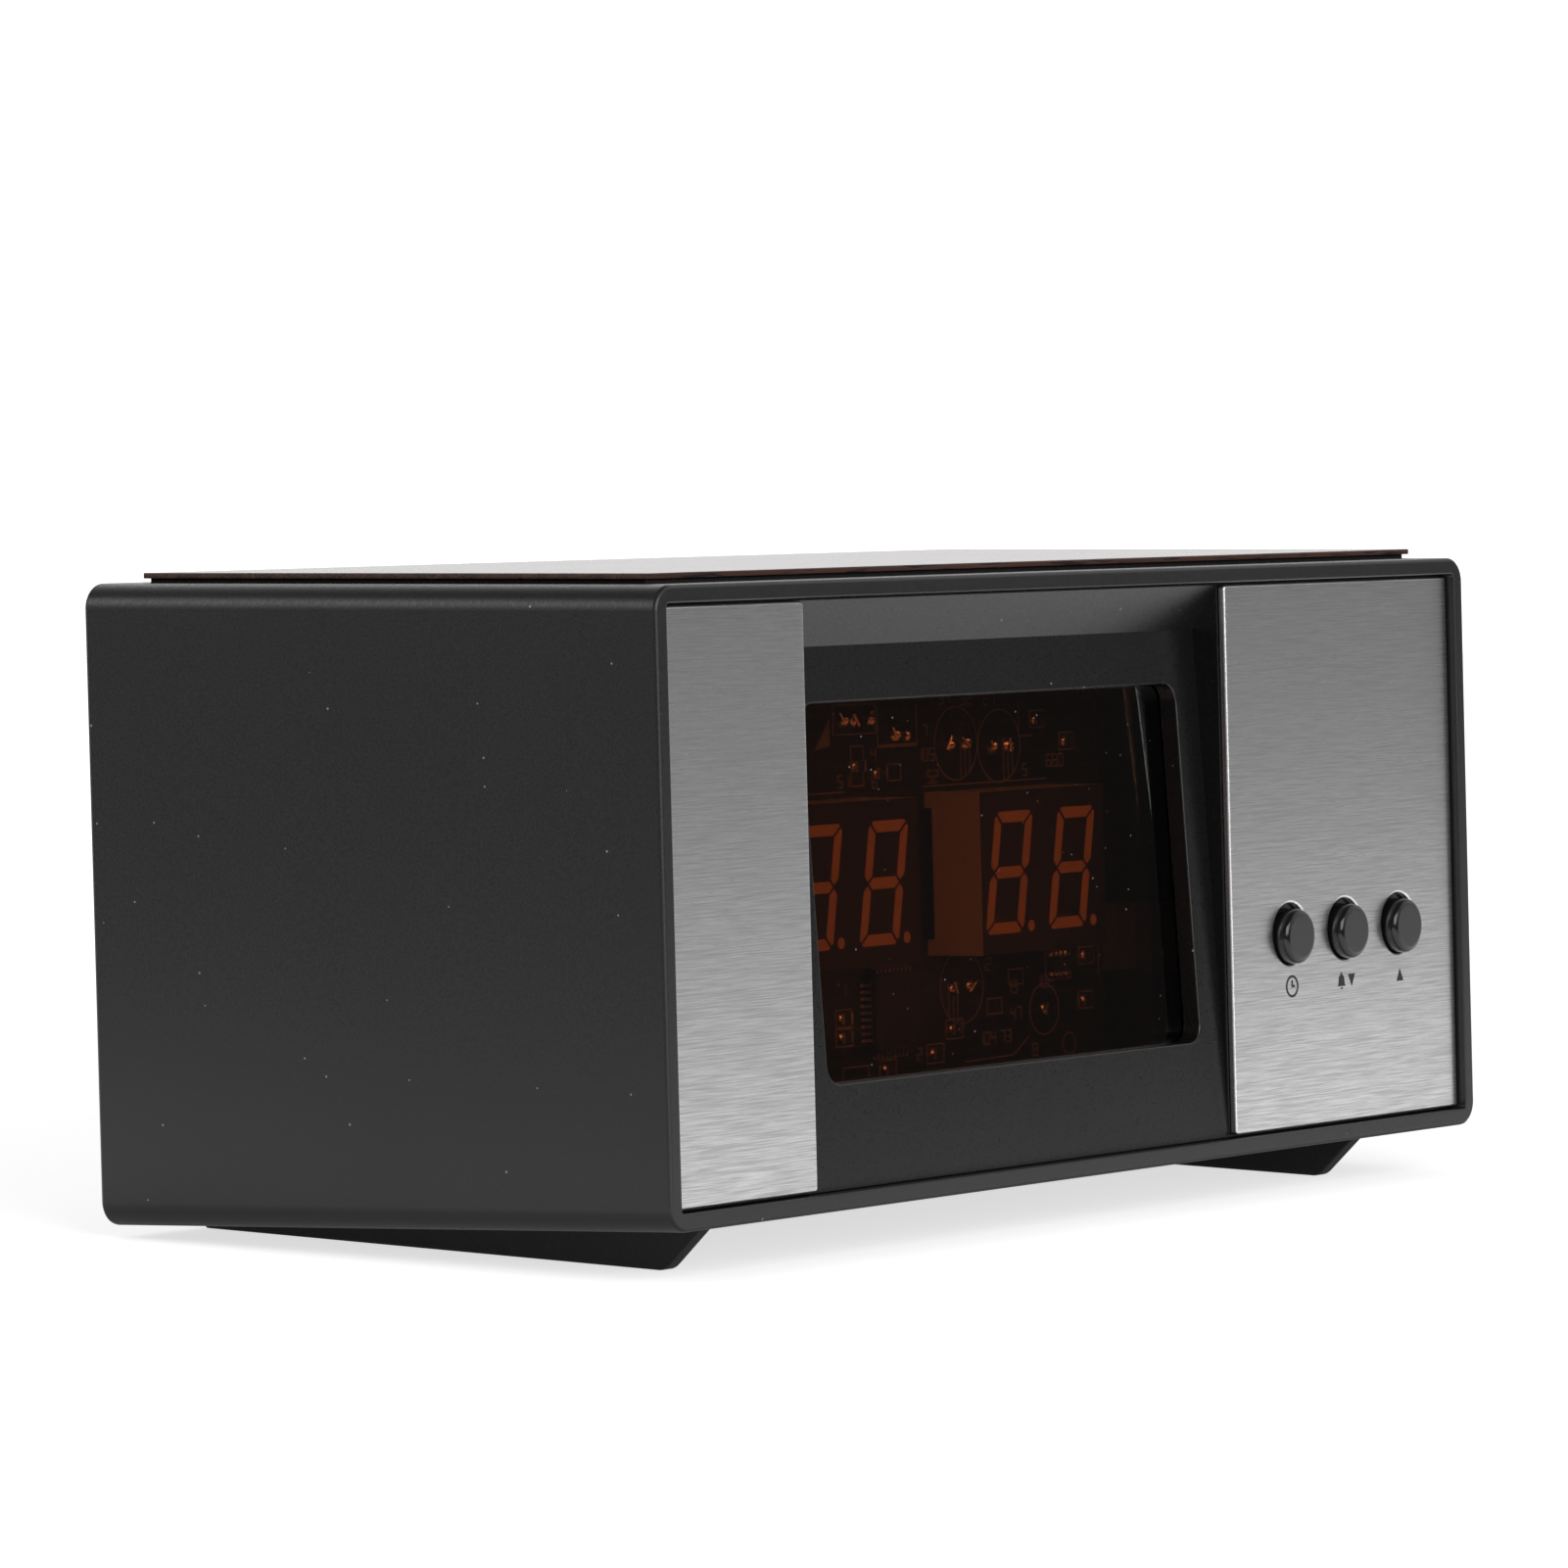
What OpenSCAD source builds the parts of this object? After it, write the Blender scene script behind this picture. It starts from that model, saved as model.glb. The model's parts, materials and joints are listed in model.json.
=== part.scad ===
// Table clock with a two-by-two digit display in a leaning, drafted case.
// Case frame: X to the right from the middle, Y back from the front rim, Z up from the
// bottom front edge. The finished clock leans back on its feet and stands on Z = 0.

/* [Case sleeve] */
// Width across the front rim
case_w = 163.1; // [150:0.1:190]
// Height of the front rim
case_h = 70; // [66:0.5:80]
// Depth from the front rim to the rear rim
case_d = 80.7; // [72:0.1:95]
// Growth of the sleeve on each side between the front rim and the rear rim
rear_grow = 1.5; // [0.5:0.1:2]
// Wall of the sleeve
case_wall = 2; // [1.6:0.1:2.6]
// Radius of the four long outer edges
corner_r = 2.9; // [1.5:0.1:5]
// Radius of the four long inner edges
inner_r = 0.5; // [0.3:0.1:1.5]
// Round on the front and rear edges of the sleeve
edge_r = 0.5; // [0.2:0.1:0.8]
// Height of the ledges that the front and rear panels seat on
ledge_h = 1.5; // [0.8:0.1:2]
// Thickness of these ledges along the depth
ledge_t = 2; // [1:0.1:4]

/* [Stance and feet] */
// Backward lean that the wedge feet give the case, in degrees
lean = 2.3; // [1.5:0.1:2.8]
// Depth of the resting plane under the front bottom edge
foot_drop = 6.1; // [5.8:0.1:9]
// Thickness of a foot's blade
foot_t = 2.2; // [1.6:0.1:4]
// Distance of a foot's outer face from the side of the case
foot_inset = 14.5; // [12:0.5:30]
// Distance of a foot's top front corner behind the front rim
foot_front = 6.5; // [5:0.5:14]
// How far a foot's nose lies behind that corner
foot_rake = 6; // [2:0.1:7]
// Radius of the nose
foot_nose_r = 2; // [1:0.1:2.5]
// Distance of a foot's rear end from the rear rim
foot_rear_gap = 1.7; // [1:0.1:8]
// Length of a tongue that holds a foot in the floor
tongue_l = 8; // [5:0.5:12]
// Height of a tongue's staked end above the floor
tongue_h = 1.2; // [0.8:0.1:2]
// Clearance round a tongue in its slot
tongue_gap = 0.1; // [0.05:0.05:0.2]

/* [Front bezel] */
// Depth of the bezel's face behind the front rim
bezel_front = 2; // [1.5:0.1:3]
// Thickness of the bezel
bezel_t = 2.4; // [1.8:0.1:3]
// Clearance between the bezel or the rear cover and the sleeve
panel_gap = 0.1; // [0.05:0.05:0.3]
// Depth of the sloping recess at its crease
recess_depth = 3.6; // [2:0.1:5]
// Height of the bevel above the crease
recess_bevel_h = 5.2; // [3:0.1:8]
// Clearance between a trim plate and the wall of the recess
recess_gap = 0.1; // [0.05:0.05:0.3]
// Clearance between the back of the recess and the ends of the front ledge
pan_gap = 0.5; // [0.2:0.1:1]
// Width of the bezel left bare between the recess wall and the window
window_margin = 4.6; // [3:0.1:10]
// Height of the window
window_h = 42.4; // [36:0.1:44]
// Corner radius of the window
window_r = 2.2; // [1:0.1:5]
// Distance of the corner posts from the sides of the case
post_inset = 8; // [7.5:0.5:10]
// Radius of the corner posts
post_r = 3; // [2.4:0.1:3.4]

/* [Lens] */
// Thickness of the amber lens
lens_t = 2; // [1:0.1:3]
// Overlap of the lens behind the window's edge
lens_lap = 1.6; // [1:0.1:2]
// Clearance between the lens and its locating rib
lens_gap = 0.15; // [0.05:0.05:0.3]
// Thickness of the locating rib
lens_rib_t = 1; // [0.8:0.1:1.5]

/* [Trim plates] */
// Thickness of a trim plate
plate_t = 1; // [0.6:0.1:1.4]
// Width of the left plate
left_plate_w = 25.7; // [20:0.1:32]
// Width of the right plate
right_plate_w = 49.3; // [46:0.1:56]
// Clearance between a plate and the front rim
plate_gap = 0.3; // [0.1:0.05:0.5]
// Corner radius of the plates
plate_r = 0.5; // [0.2:0.1:2]

/* [Top panel] */
// Distance of the wood panel from the edges of the top
panel_inset = 4.8; // [3:0.1:10]
// Thickness of the wood panel
wood_t = 0.65; // [0.4:0.05:3]
// Thickness of the black backing under the wood
backing_t = 0.5; // [0.3:0.05:2]
// How far the backing lies inside the wood's edge
backing_inset = 0.6; // [0.3:0.1:3]

/* [Rear cover] */
// Thickness of the rear cover
cover_t = 2; // [1.6:0.1:3]
// Depth of the rear cover inside the rear rim
cover_inset = 1; // [0.8:0.1:3]
// Number of sound slots
slot_count = 6; // [3:1:8]
// Length of a sound slot
slot_l = 14; // [8:0.5:20]
// Width of a sound slot
slot_w = 1.6; // [1.2:0.1:2.5]
// Distance from one sound slot to the next
slot_pitch = 3.4; // [3:0.1:4]

/* [Display] */
// Distance of the digit faces behind the front rim
display_setback = 13; // [11:0.1:18]
// Width of a two-digit module
module_w = 25.1; // [24:0.1:28]
// Height of a module
module_h = 19; // [17:0.1:22]
// Depth of a module from its face to the board
module_d = 8; // [6:0.1:9]
// Distance between the centres of the two modules
module_pitch = 37.5; // [30:0.5:42]
// Depth of the relief behind a module, between its feet
relief_d = 1; // [0.6:0.1:2]
// Height of a module's feet beside the relief
relief_foot = 1.8; // [1:0.1:1.8]
// Height of a digit
digit_h = 14.2; // [12:0.1:15]
// Width of a digit
digit_w = 7.6; // [6.5:0.1:8]
// Distance between the two digits of a module
digit_pitch = 12.7; // [12:0.1:13]
// Slant of the digits, in degrees
digit_slant = 10; // [0:1:12]
// Width of an upright segment
upright_w = 1.4; // [1:0.1:2]
// Height of a level segment
bar_h = 1.3; // [1:0.1:2]
// Gap between neighbouring segments
segment_gap = 0.25; // [0.1:0.05:0.3]
// Chamfer on the outer corners of a digit
segment_cut = 0.8; // [0.4:0.1:1.2]
// Thickness of a segment's diffuser
segment_t = 0.4; // [0.2:0.1:1]
// Radius of a decimal point
point_r = 0.65; // [0.5:0.05:1]

/* [Boards] */
// Width of the main board
board_w = 84; // [80:0.5:90]
// Height of the main board
board_h = 58; // [57:0.5:62]
// Thickness of both boards
board_t = 1.6; // [1:0.1:2]
// Distance of the board screws from the board's edges
board_edge = 3; // [2.8:0.1:3.4]
// Radius of the posts that carry the boards
board_post_r = 2.4; // [2:0.1:2.6]
// Width of the button board
button_board_w = 44; // [43:0.5:46]
// Height of the button board
button_board_h = 18; // [17:0.5:22]
// Diameter of a smoothing capacitor
capacitor_d = 8; // [6.3:0.1:9]
// Length of a smoothing capacitor
capacitor_l = 12; // [8:0.5:20]
// Side of the controller's square package
chip_side = 9; // [7:0.5:9.5]
// Diameter of the alarm buzzer
buzzer_d = 12; // [9:0.5:14]
// Diameter of the backup cell
cell_d = 20; // [16:0.5:20]
// Thickness of the backup cell
cell_t = 3.2; // [2:0.1:3.2]

/* [Buttons] */
// Radius of a button
button_r = 3.3; // [3:0.05:4.2]
// Running clearance of a button in the bezel
button_fit = 0.08; // [0.04:0.01:0.1]
// Clearance between a button and the hole in the trim plate
button_plate_gap = 0.4; // [0.35:0.05:0.5]
// How far a hole in the trim plate lies above its button's middle
plate_hole_rise = 0.3; // [0:0.05:0.3]
// Distance between buttons
button_pitch = 12; // [11:0.1:12.5]
// Height of the button row above the bottom front edge
button_z = 25.3; // [22:0.1:40]
// How far a button stands out of the trim plate
button_proud = 1.6; // [1.2:0.1:1.9]
// Round on a button's edge
button_round = 0.8; // [0.4:0.1:1.2]
// Travel of a button
button_travel = 0.5; // [0.3:0.05:0.6]
// Radius of the flange behind a button
flange_r = 4.9; // [4.5:0.1:5.3]
// Thickness of this flange
flange_t = 1.2; // [0.8:0.1:2]
// Gap between the flange and the bezel at rest
flange_gap = 0.2; // [0.1:0.05:0.4]

/* [Power inlet] */
// Distance of the inlet from the middle of the case
inlet_x = 41.5; // [30:0.5:55]
// Height of the inlet above the bottom front edge
inlet_z = 20; // [17:0.5:24]
// Radius of the inlet's round nose
inlet_nose_r = 3.9; // [3.6:0.1:4.5]
// Radius of the bore that takes a plug
inlet_bore_r = 2.9; // [2.75:0.05:3.1]
// Radius of the centre pin
inlet_pin_r = 1; // [0.8:0.05:1.25]

/* [Hidden] */

$fn = 48;
shell_fn = 64;
slab_t = 0.01;
cut = 1;
sink = 0.6;
round_steps = [0, 30, 60, 90];

// Colours of the finishes
charcoal = "#2e2e2f";
black = "#232324";
amber = "#4a1c0c";
aluminium = "#a8a8aa";
walnut = "#4a2c26";
board_green = "#1d2a1c";
solder = "#b8b8b4";
steel = "#8c8c8c";
orange = "#a5541c";
satin_grey = "#38383a";
sleeve_blue = "#202a44";
nylon = "#d8d4c8";
cable_black = "#1c1c1d";

// Panel seats inside the sleeve
mid_z = case_h / 2;
front_seat = bezel_front + bezel_t;
rear_seat = case_d - cover_inset - cover_t;
inner_x = case_w / 2 - case_wall;
draft = atan(rear_grow / case_d);

// Trim plates and the recess between them
plate_front = bezel_front - plate_t;
plate_h = case_h - 2 * (case_wall + plate_gap);
left_plate_x = -inner_x + plate_gap;
right_plate_x = inner_x - plate_gap - right_plate_w;
recess_left = left_plate_x + left_plate_w + recess_gap;
recess_right = right_plate_x - recess_gap;
recess_w = recess_right - recess_left;
recess_x = (recess_left + recess_right) / 2;
recess_low = case_wall + plate_gap;
recess_high = case_h - recess_low;
crease_z = recess_high - recess_bevel_h;
recess_slope = recess_depth / (crease_z - recess_low);
recess_angle = atan(recess_slope);

// Window and lens, along the slope of the recess
window_w = recess_w - 2 * window_margin;
window_rise = (mid_z - recess_low) / cos(recess_angle);
lens_w = window_w + 2 * lens_lap;
lens_h = window_h + 2 * lens_lap;
rib_h = lens_t;

// Boards and the row of buttons
board_y = display_setback + module_d;
board_rear = board_y + board_t;
button_x = right_plate_x + right_plate_w / 2;
button_tip = plate_front - button_proud;
flange_front = front_seat + flange_gap;
flange_rear = flange_front + flange_t;
plunger_r = 1.72;
plunger_fit = 0.08;
plunger_out = 0.8;
plunger_in = 0.6;
switch_side = 6;
switch_t = 3.5;
switch_front = flange_rear + plunger_out;
button_board_y = switch_front + switch_t;
button_board_rear = button_board_y + board_t;
button_offsets = [-button_pitch, 0, button_pitch];

// Screws
screw_r = 1.2;
screw_hole_r = 1.3;
screw_grip = 8;
pilot_fit = 0.05;
screw_head_r = 2.5;
screw_head_t = 1.4;
recess_sink = 0.8;
small_screw_r = 0.9;
small_screw_hole_r = 1;
small_screw_grip = 5;
button_screw_grip = 4;
small_head_r = 1.8;
small_head_t = 1.1;
cross_w = 0.6;
cross_span = 1.3;
corner_posts = [for (x = [-1, 1], z = [-1, 1])
    [x * (case_w / 2 - post_inset), mid_z + z * (mid_z - post_inset)]];
board_posts = [for (x = [-1, 1], z = [-1, 1])
    [recess_x + x * (board_w / 2 - board_edge), mid_z + z * (board_h / 2 - board_edge)]];
button_posts = [for (s = [-1, 1])
    [button_x + s * (button_board_w / 2 - board_edge), button_z - s * (button_board_h / 2 - board_edge)]];

// Places on the main board, from its middle
chip_at = [-1.8, -15.4];
array_at = [32.5, -12];
capacitors_at = [[12.8, 15], [21.5, 14.4], [12.8, -13.6]];
capacitor_lead = 1.75;
groove_at = 1.6;
groove_r = 0.5;
pads_at = [[-9.7, 18.5], [-7.2, 18.5], [-4.7, 18.5], [0.4, 16.5], [2.4, 16.5], [29.5, -17.2]];
components_at = [[-6.8, 13.1], [-2.6, 12.1], [-10.6, -15.8], [-10.6, -18], [-2.2, -22.2],
    [7.2, -21], [11.1, -18.4], [38.4, -11.3], [38.2, -16.6], [29.4, 17.3], [35.4, 14.5]];
component = [2, 1.25, 0.6];
end_t = 0.35;
array_size = [4, 1.9, 0.6];
array_pitch = 0.95;
array_end_w = 0.45;
solder_r = 0.95;
solder_tip_r = 0.35;
solder_h = 0.8;
crystal_at = [-20, -16];
crystal_size = [11, 3.5, 4.6];
crystal_r = 2.2;
buzzer_at = [-20, 12];
buzzer_t = 8.5;
mouth_d = 2.5;
mouth_r = 1;
cell_at = [-4, -2];
holder_floor = 1;
holder_wall = 1.5;
holder_gap = 0.2;
holder_notch = 8;
ribbon_at = 35;
ribbon_button_at = -14;

// Space between a digit and its decimal point
point_gap = 0.9;

// Module pins
pin_r = 0.25;
pin_pitch = 2.54;
pin_row = 7.62;
pin_steps = [-4, -3, -2, -1, 0, 1, 2, 3, 4];

// Controller package
chip_t = 1.4;
chip_stand = 0.1;
lead_w = 0.35;
lead_t = 0.15;
lead_pitch = 0.8;
lead_reach = 1;
lead_steps = [-4, -3, -2, -1, 0, 1, 2, 3, 4];

// Inlet, headers and the leads between them
inlet_body = [9, 11, 11];
inlet_depth = 9;
inlet_pin_back = 1;
inlet_fit = 0.1;
header_size = [6, 5, 6];
ribbon_header = [4, 4, 9];
lead_size = [2.6, 1.3];
lead_sag = 5;
ribbon_h = 8;
ribbon_t = 0.6;
ribbon_bulge = 8;
curve_steps = 16;

// Growth of each side of the sleeve at a depth
function grow(y) = rear_grow * y / case_d;

// Height of the sleeve's floor outside, and of the resting plane, at a depth
function floor_z(y) = -grow(y);
function rest_z(y) = y * tan(lean) - foot_drop;

// Back of the bezel behind the sloping face, at a height
function pan_back(z) = front_seat + recess_slope * (min(z, crease_z) - recess_low);

// A unit vector along v, and the same turned a quarter turn
function unit(v) = v / norm(v);
function left_of(v) = [-v[1], v[0]];

// A point of a digit's outline after its slant, and an outline mirrored by signs
function slant(p) = [p[0] + p[1] * tan(digit_slant), p[1]];
function flip(points, sx, sy) = [for (p = points) slant([p[0] * sx, p[1] * sy])];

// Outline of a band of thickness t along a path of points
function band_edge(path, off) = [for (i = [0 : len(path) - 1])
    path[i] + off * left_of(unit(path[min(i + 1, len(path) - 1)] - path[max(i - 1, 0)]))];
function reversed(list) = [for (i = [len(list) - 1 : -1 : 0]) list[i]];
function band(path, t) = concat(band_edge(path, t / 2), reversed(band_edge(path, -t / 2)));

// Case frame to the finished clock: leaning back, resting on Z = 0, centred in plan
rear_reach = case_d * cos(lean) + (case_h + rear_grow - edge_r) * sin(lean);
front_reach = edge_r * sin(lean);
module in_case() {
    translate([0, -(rear_reach + front_reach) / 2, foot_drop * cos(lean)])
        rotate([-lean, 0, 0])
            children();
}

// An outline in X and Z, extruded back from depth y
module from_front(y, t) {
    translate([0, y + t, 0])
        rotate([90, 0, 0])
            linear_extrude(t)
                children();
}

// An outline in Y and Z, extruded to the right from x
module from_side(x, t) {
    translate([x, 0, 0])
        rotate([90, 0, 90])
            linear_extrude(t)
                children();
}

// A rectangle with round corners, about its middle
module round_rect(w, h, r) {
    square([w - 2 * r, h], center = true);
    square([w, h - 2 * r], center = true);
    for (x = [-1, 1], z = [-1, 1])
        translate([x * (w / 2 - r), z * (h / 2 - r)])
            circle(r);
}

// A rod along the depth at a place in the case's front view
module rod(at, y, t, r) {
    translate([at[0], y + t, at[1]])
        rotate([90, 0, 0])
            cylinder(h = t, r = r);
}

// A box along the depth, centred at a place in the case's front view
module block(at, y, t, w, h) {
    translate([at[0] - w / 2, y, at[1] - h / 2])
        cube([w, t, h]);
}

// A pan-head screw with a cross recess, head towards the rear
module screw(at, seat, r, grip, head_r, head_t) {
    difference() {
        union() {
            rod(at, seat, head_t, head_r);
            rod(at, seat - grip, grip + head_t / 2, r);
        }
        block(at, seat + head_t / 2, head_t, head_r * cross_span, cross_w);
        block(at, seat + head_t / 2, head_t, cross_w, head_r * cross_span);
    }
}

// A place on the main board, in the case's front view
function on_board(at) = [recess_x + at[0], mid_z + at[1]];

// The sleeve's outline at a depth, drawn in by an inset
module case_outline(y, inset, r) {
    translate([0, mid_z])
        round_rect(case_w + 2 * grow(y) - 2 * inset, case_h + 2 * grow(y) - 2 * inset, r, $fn = shell_fn);
}

module case_slab(y, inset, r) {
    from_front(y, slab_t)
        case_outline(y, inset, r);
}

module case_block() {
    hull()
        for (a = round_steps) {
            inset = edge_r * (1 - cos(a));
            back = edge_r * (1 - sin(a));
            case_slab(back, inset, corner_r - inset);
            case_slab(case_d - back - slab_t, inset, corner_r - inset);
        }
}

module ledge(y) {
    from_front(y, ledge_t)
        difference() {
            square([2 * case_w, 4 * case_h], center = true);
            case_outline(y, case_wall + ledge_h, inner_r);
        }
}

// The front ledge is interrupted where the back of the recess passes it
module front_ledge() {
    difference() {
        ledge(front_seat);
        translate([recess_left - bezel_t - pan_gap, front_seat - cut, -case_h])
            cube([recess_w + 2 * (bezel_t + pan_gap), ledge_t + 2 * cut, 3 * case_h]);
    }
}

module case_cavity() {
    difference() {
        hull() {
            case_slab(-cut, case_wall, inner_r);
            case_slab(case_d + cut, case_wall, inner_r);
        }
        front_ledge();
        ledge(rear_seat - ledge_t);
    }
}

foot_rear = case_d - foot_rear_gap;
foot_x = case_w / 2 - foot_inset;
tongues_at = [for (s = [1, 3]) foot_front + foot_rake + s * (foot_rear - foot_front - foot_rake) / 4];

module tongue_slots(x) {
    for (y = tongues_at)
        translate([x - tongue_gap, y - tongue_l / 2 - tongue_gap, -rear_grow - cut])
            cube([foot_t + 2 * tongue_gap, tongue_l + 2 * tongue_gap, rear_grow + case_wall + 2 * cut]);
}

module case_shell() {
    color(charcoal) in_case() difference() {
        case_block();
        case_cavity();
        tongue_slots(-foot_x);
        tongue_slots(foot_x - foot_t);
    }
}

// A foot's corners in side view, and the round of its raked nose
foot_top = [foot_front, floor_z(foot_front)];
foot_nose = [foot_front + foot_rake, rest_z(foot_front + foot_rake)];
nose_up = unit(foot_top - foot_nose);
nose_back = [cos(lean), sin(lean)];
nose_half = acos(nose_up * nose_back) / 2;
nose_reach = foot_nose_r / tan(nose_half);
nose_mid = foot_nose + unit(nose_up + nose_back) * foot_nose_r / sin(nose_half);

// A wedge blade with a round nose, and two tongues on top that pass through the floor
module foot(x) {
    from_side(x, foot_t)
        polygon([
            foot_top,
            [foot_rear, floor_z(foot_rear)],
            [foot_rear, rest_z(foot_rear)],
            foot_nose + nose_reach * nose_back,
            nose_mid,
            foot_nose + nose_reach * nose_up
        ]);
    translate([x, nose_mid[0], nose_mid[1]])
        rotate([0, 90, 0])
            cylinder(h = foot_t, r = foot_nose_r);
    for (y = tongues_at)
        translate([x, y - tongue_l / 2, floor_z(y) - sink])
            cube([foot_t, tongue_l, sink + case_wall + tongue_h]);
}

module left_foot() {
    color(black) in_case() foot(-foot_x);
}

module right_foot() {
    color(black) in_case() foot(foot_x - foot_t);
}

// The sloping recess in side view: its open space, and the wall behind it
module recess_void() {
    polygon([
        [bezel_front - cut, recess_low],
        [bezel_front, recess_low],
        [bezel_front + recess_depth, crease_z],
        [bezel_front, recess_high],
        [bezel_front - cut, recess_high]
    ]);
}

module recess_pan() {
    polygon([
        [bezel_front, recess_low],
        [front_seat, recess_low],
        [front_seat + recess_depth, crease_z],
        [front_seat, recess_high],
        [bezel_front, recess_high]
    ]);
}

// The back of the sloping face: Z runs up the slope from the recess's lower edge
module on_pan_back() {
    translate([recess_x, front_seat, recess_low])
        rotate([-recess_angle, 0, 0])
            children();
}

module window_outline() {
    translate([recess_x, mid_z])
        round_rect(window_w, window_h, window_r);
}

module lens_outline(grown) {
    translate([0, window_rise])
        round_rect(lens_w + 2 * grown, lens_h + 2 * grown, window_r);
}

module bezel_posts() {
    for (at = corner_posts)
        rod(at, front_seat - sink, rear_seat - front_seat + sink, post_r);
    for (at = board_posts)
        rod(at, pan_back(at[1]) - sink, board_y - pan_back(at[1]) + sink, board_post_r);
    for (at = button_posts)
        rod(at, front_seat - sink, button_board_y - front_seat + sink, board_post_r);
}

module bezel_holes() {
    from_front(0, board_y)
        window_outline();
    for (x = button_offsets)
        rod([button_x + x, button_z], 0, front_seat + cut, button_r + button_fit);
    for (at = corner_posts)
        rod(at, rear_seat - screw_grip - cut, screw_grip + 2 * cut, screw_r + pilot_fit);
    for (at = board_posts)
        rod(at, board_y - small_screw_grip, small_screw_grip + cut, small_screw_r + pilot_fit);
    for (at = button_posts)
        rod(at, button_board_y - button_screw_grip, button_screw_grip + cut, small_screw_r + pilot_fit);
}

module front_bezel() {
    color(black) in_case() difference() {
        union() {
            from_front(bezel_front, bezel_t)
                translate([0, mid_z])
                    round_rect(2 * (inner_x - panel_gap), case_h - 2 * (case_wall + panel_gap), inner_r);
            from_side(recess_left - bezel_t, recess_w + 2 * bezel_t)
                recess_pan();
            on_pan_back()
                from_front(-sink, sink + rib_h)
                    lens_outline(lens_gap + lens_rib_t);
            bezel_posts();
        }
        from_side(recess_left, recess_w)
            recess_void();
        on_pan_back()
            from_front(0, board_y)
                lens_outline(lens_gap);
        bezel_holes();
    }
}

module display_lens() {
    color(amber) in_case() on_pan_back() from_front(0, lens_t) lens_outline(0);
}

module trim_plate(x, w) {
    from_front(plate_front, plate_t)
        translate([x + w / 2, mid_z])
            round_rect(w, plate_h, plate_r);
}

module left_trim_plate() {
    color(aluminium) in_case() trim_plate(left_plate_x, left_plate_w);
}

module right_trim_plate() {
    color(aluminium) in_case() difference() {
        trim_plate(right_plate_x, right_plate_w);
        for (x = button_offsets)
            rod([button_x + x, button_z + plate_hole_rise], plate_front - cut, plate_t + 2 * cut,
                button_r + button_plate_gap);
    }
}

// A flat layer on the sloping top of the case, at a height above it
module top_layer(z, t, inset) {
    front_half = case_w / 2 + grow(inset) - inset;
    rear_half = case_w / 2 + grow(case_d - inset) - inset;
    translate([0, 0, case_h])
        rotate([draft, 0, 0])
            translate([0, 0, z])
                linear_extrude(t)
                    polygon([
                        [-front_half, inset],
                        [front_half, inset],
                        [rear_half, case_d - inset],
                        [-rear_half, case_d - inset]
                    ]);
}

module wood_top_panel() {
    color(walnut) in_case() top_layer(backing_t, wood_t, panel_inset);
}

module panel_backing() {
    color(black) in_case() top_layer(0, backing_t, panel_inset + backing_inset);
}

inlet_at = [-inlet_x, inlet_z];
slots_z = [for (i = [0 : slot_count - 1]) mid_z + (i - (slot_count - 1) / 2) * slot_pitch];
slots_x = recess_x + buzzer_at[0];

module rear_cover() {
    color(charcoal) in_case() difference() {
        from_front(rear_seat, cover_t)
            difference() {
                case_outline(rear_seat, case_wall + panel_gap, inner_r);
                translate(inlet_at)
                    circle(inlet_nose_r + inlet_fit);
                for (z = slots_z)
                    translate([slots_x, z])
                        round_rect(slot_l, slot_w, slot_w / 2 - slab_t);
            }
        for (at = corner_posts) {
            rod(at, rear_seat - cut, cover_t + 2 * cut, screw_hole_r);
            rod(at, rear_seat + cover_t - recess_sink, recess_sink + cut, screw_head_r + panel_gap);
        }
    }
}

module rear_screws() {
    color(steel) in_case()
        for (at = corner_posts)
            screw(at, rear_seat + cover_t - recess_sink, screw_r, screw_grip, screw_head_r, screw_head_t);
}

module main_board() {
    color(board_green) in_case() difference() {
        block([recess_x, mid_z], board_y, board_t, board_w, board_h);
        for (at = board_posts)
            rod(at, board_y - cut, board_t + 2 * cut, small_screw_hole_r);
    }
}

module board_screws() {
    color(steel) in_case()
        for (at = board_posts)
            screw(at, board_rear, small_screw_r, board_t + small_screw_grip - pilot_fit,
                small_head_r, small_head_t);
}

// Seven segments with mitred, chamfered corners and a decimal point, about the digit's middle
module digit() {
    w = digit_w / 2;
    h = digit_h / 2;
    t = upright_w;
    b = bar_h;
    g = segment_gap;
    c = segment_cut;
    mitre = (c - g) / (t + b) * [t, b];
    end = w - g - mitre[0];
    bar = [[-end, h - mitre[1]], [c - w, h], [w - c, h], [end, h - mitre[1]],
        [w - t - g, h - b], [t + g - w, h - b]];
    side = [[w - mitre[0], h - g - mitre[1]], [w, h - c], [w, b / 2 + g], [w - t / 2, g],
        [w - t, b / 2 + g], [w - t, h - b - g]];
    half_mid = w - t / 2 - g;
    mid = [[-half_mid, 0], [t / 2 - half_mid, b / 2], [half_mid - t / 2, b / 2],
        [half_mid, 0], [half_mid - t / 2, -b / 2], [t / 2 - half_mid, -b / 2]];
    for (sy = [-1, 1]) {
        polygon(flip(bar, 1, sy));
        for (sx = [-1, 1])
            polygon(flip(side, sx, sy));
    }
    polygon(flip(mid, 1, 1));
    translate(slant([w + point_gap + point_r, point_r - h]))
        circle(point_r);
}

module digit_pair(x) {
    for (s = [-1, 1])
        translate([x + s * digit_pitch / 2 - point_r, mid_z])
            digit();
}

module digit_module(x) {
    difference() {
        block([x, mid_z], display_setback, module_d, module_w, module_h);
        block([x, mid_z], board_y - relief_d, relief_d + cut, module_w + cut, module_h - 2 * relief_foot);
        from_front(display_setback - cut, segment_t + cut)
            digit_pair(x);
    }
}

left_module_x = recess_x - module_pitch / 2;
right_module_x = recess_x + module_pitch / 2;

module left_digit_module() {
    color(black) in_case() digit_module(left_module_x);
}

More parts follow.
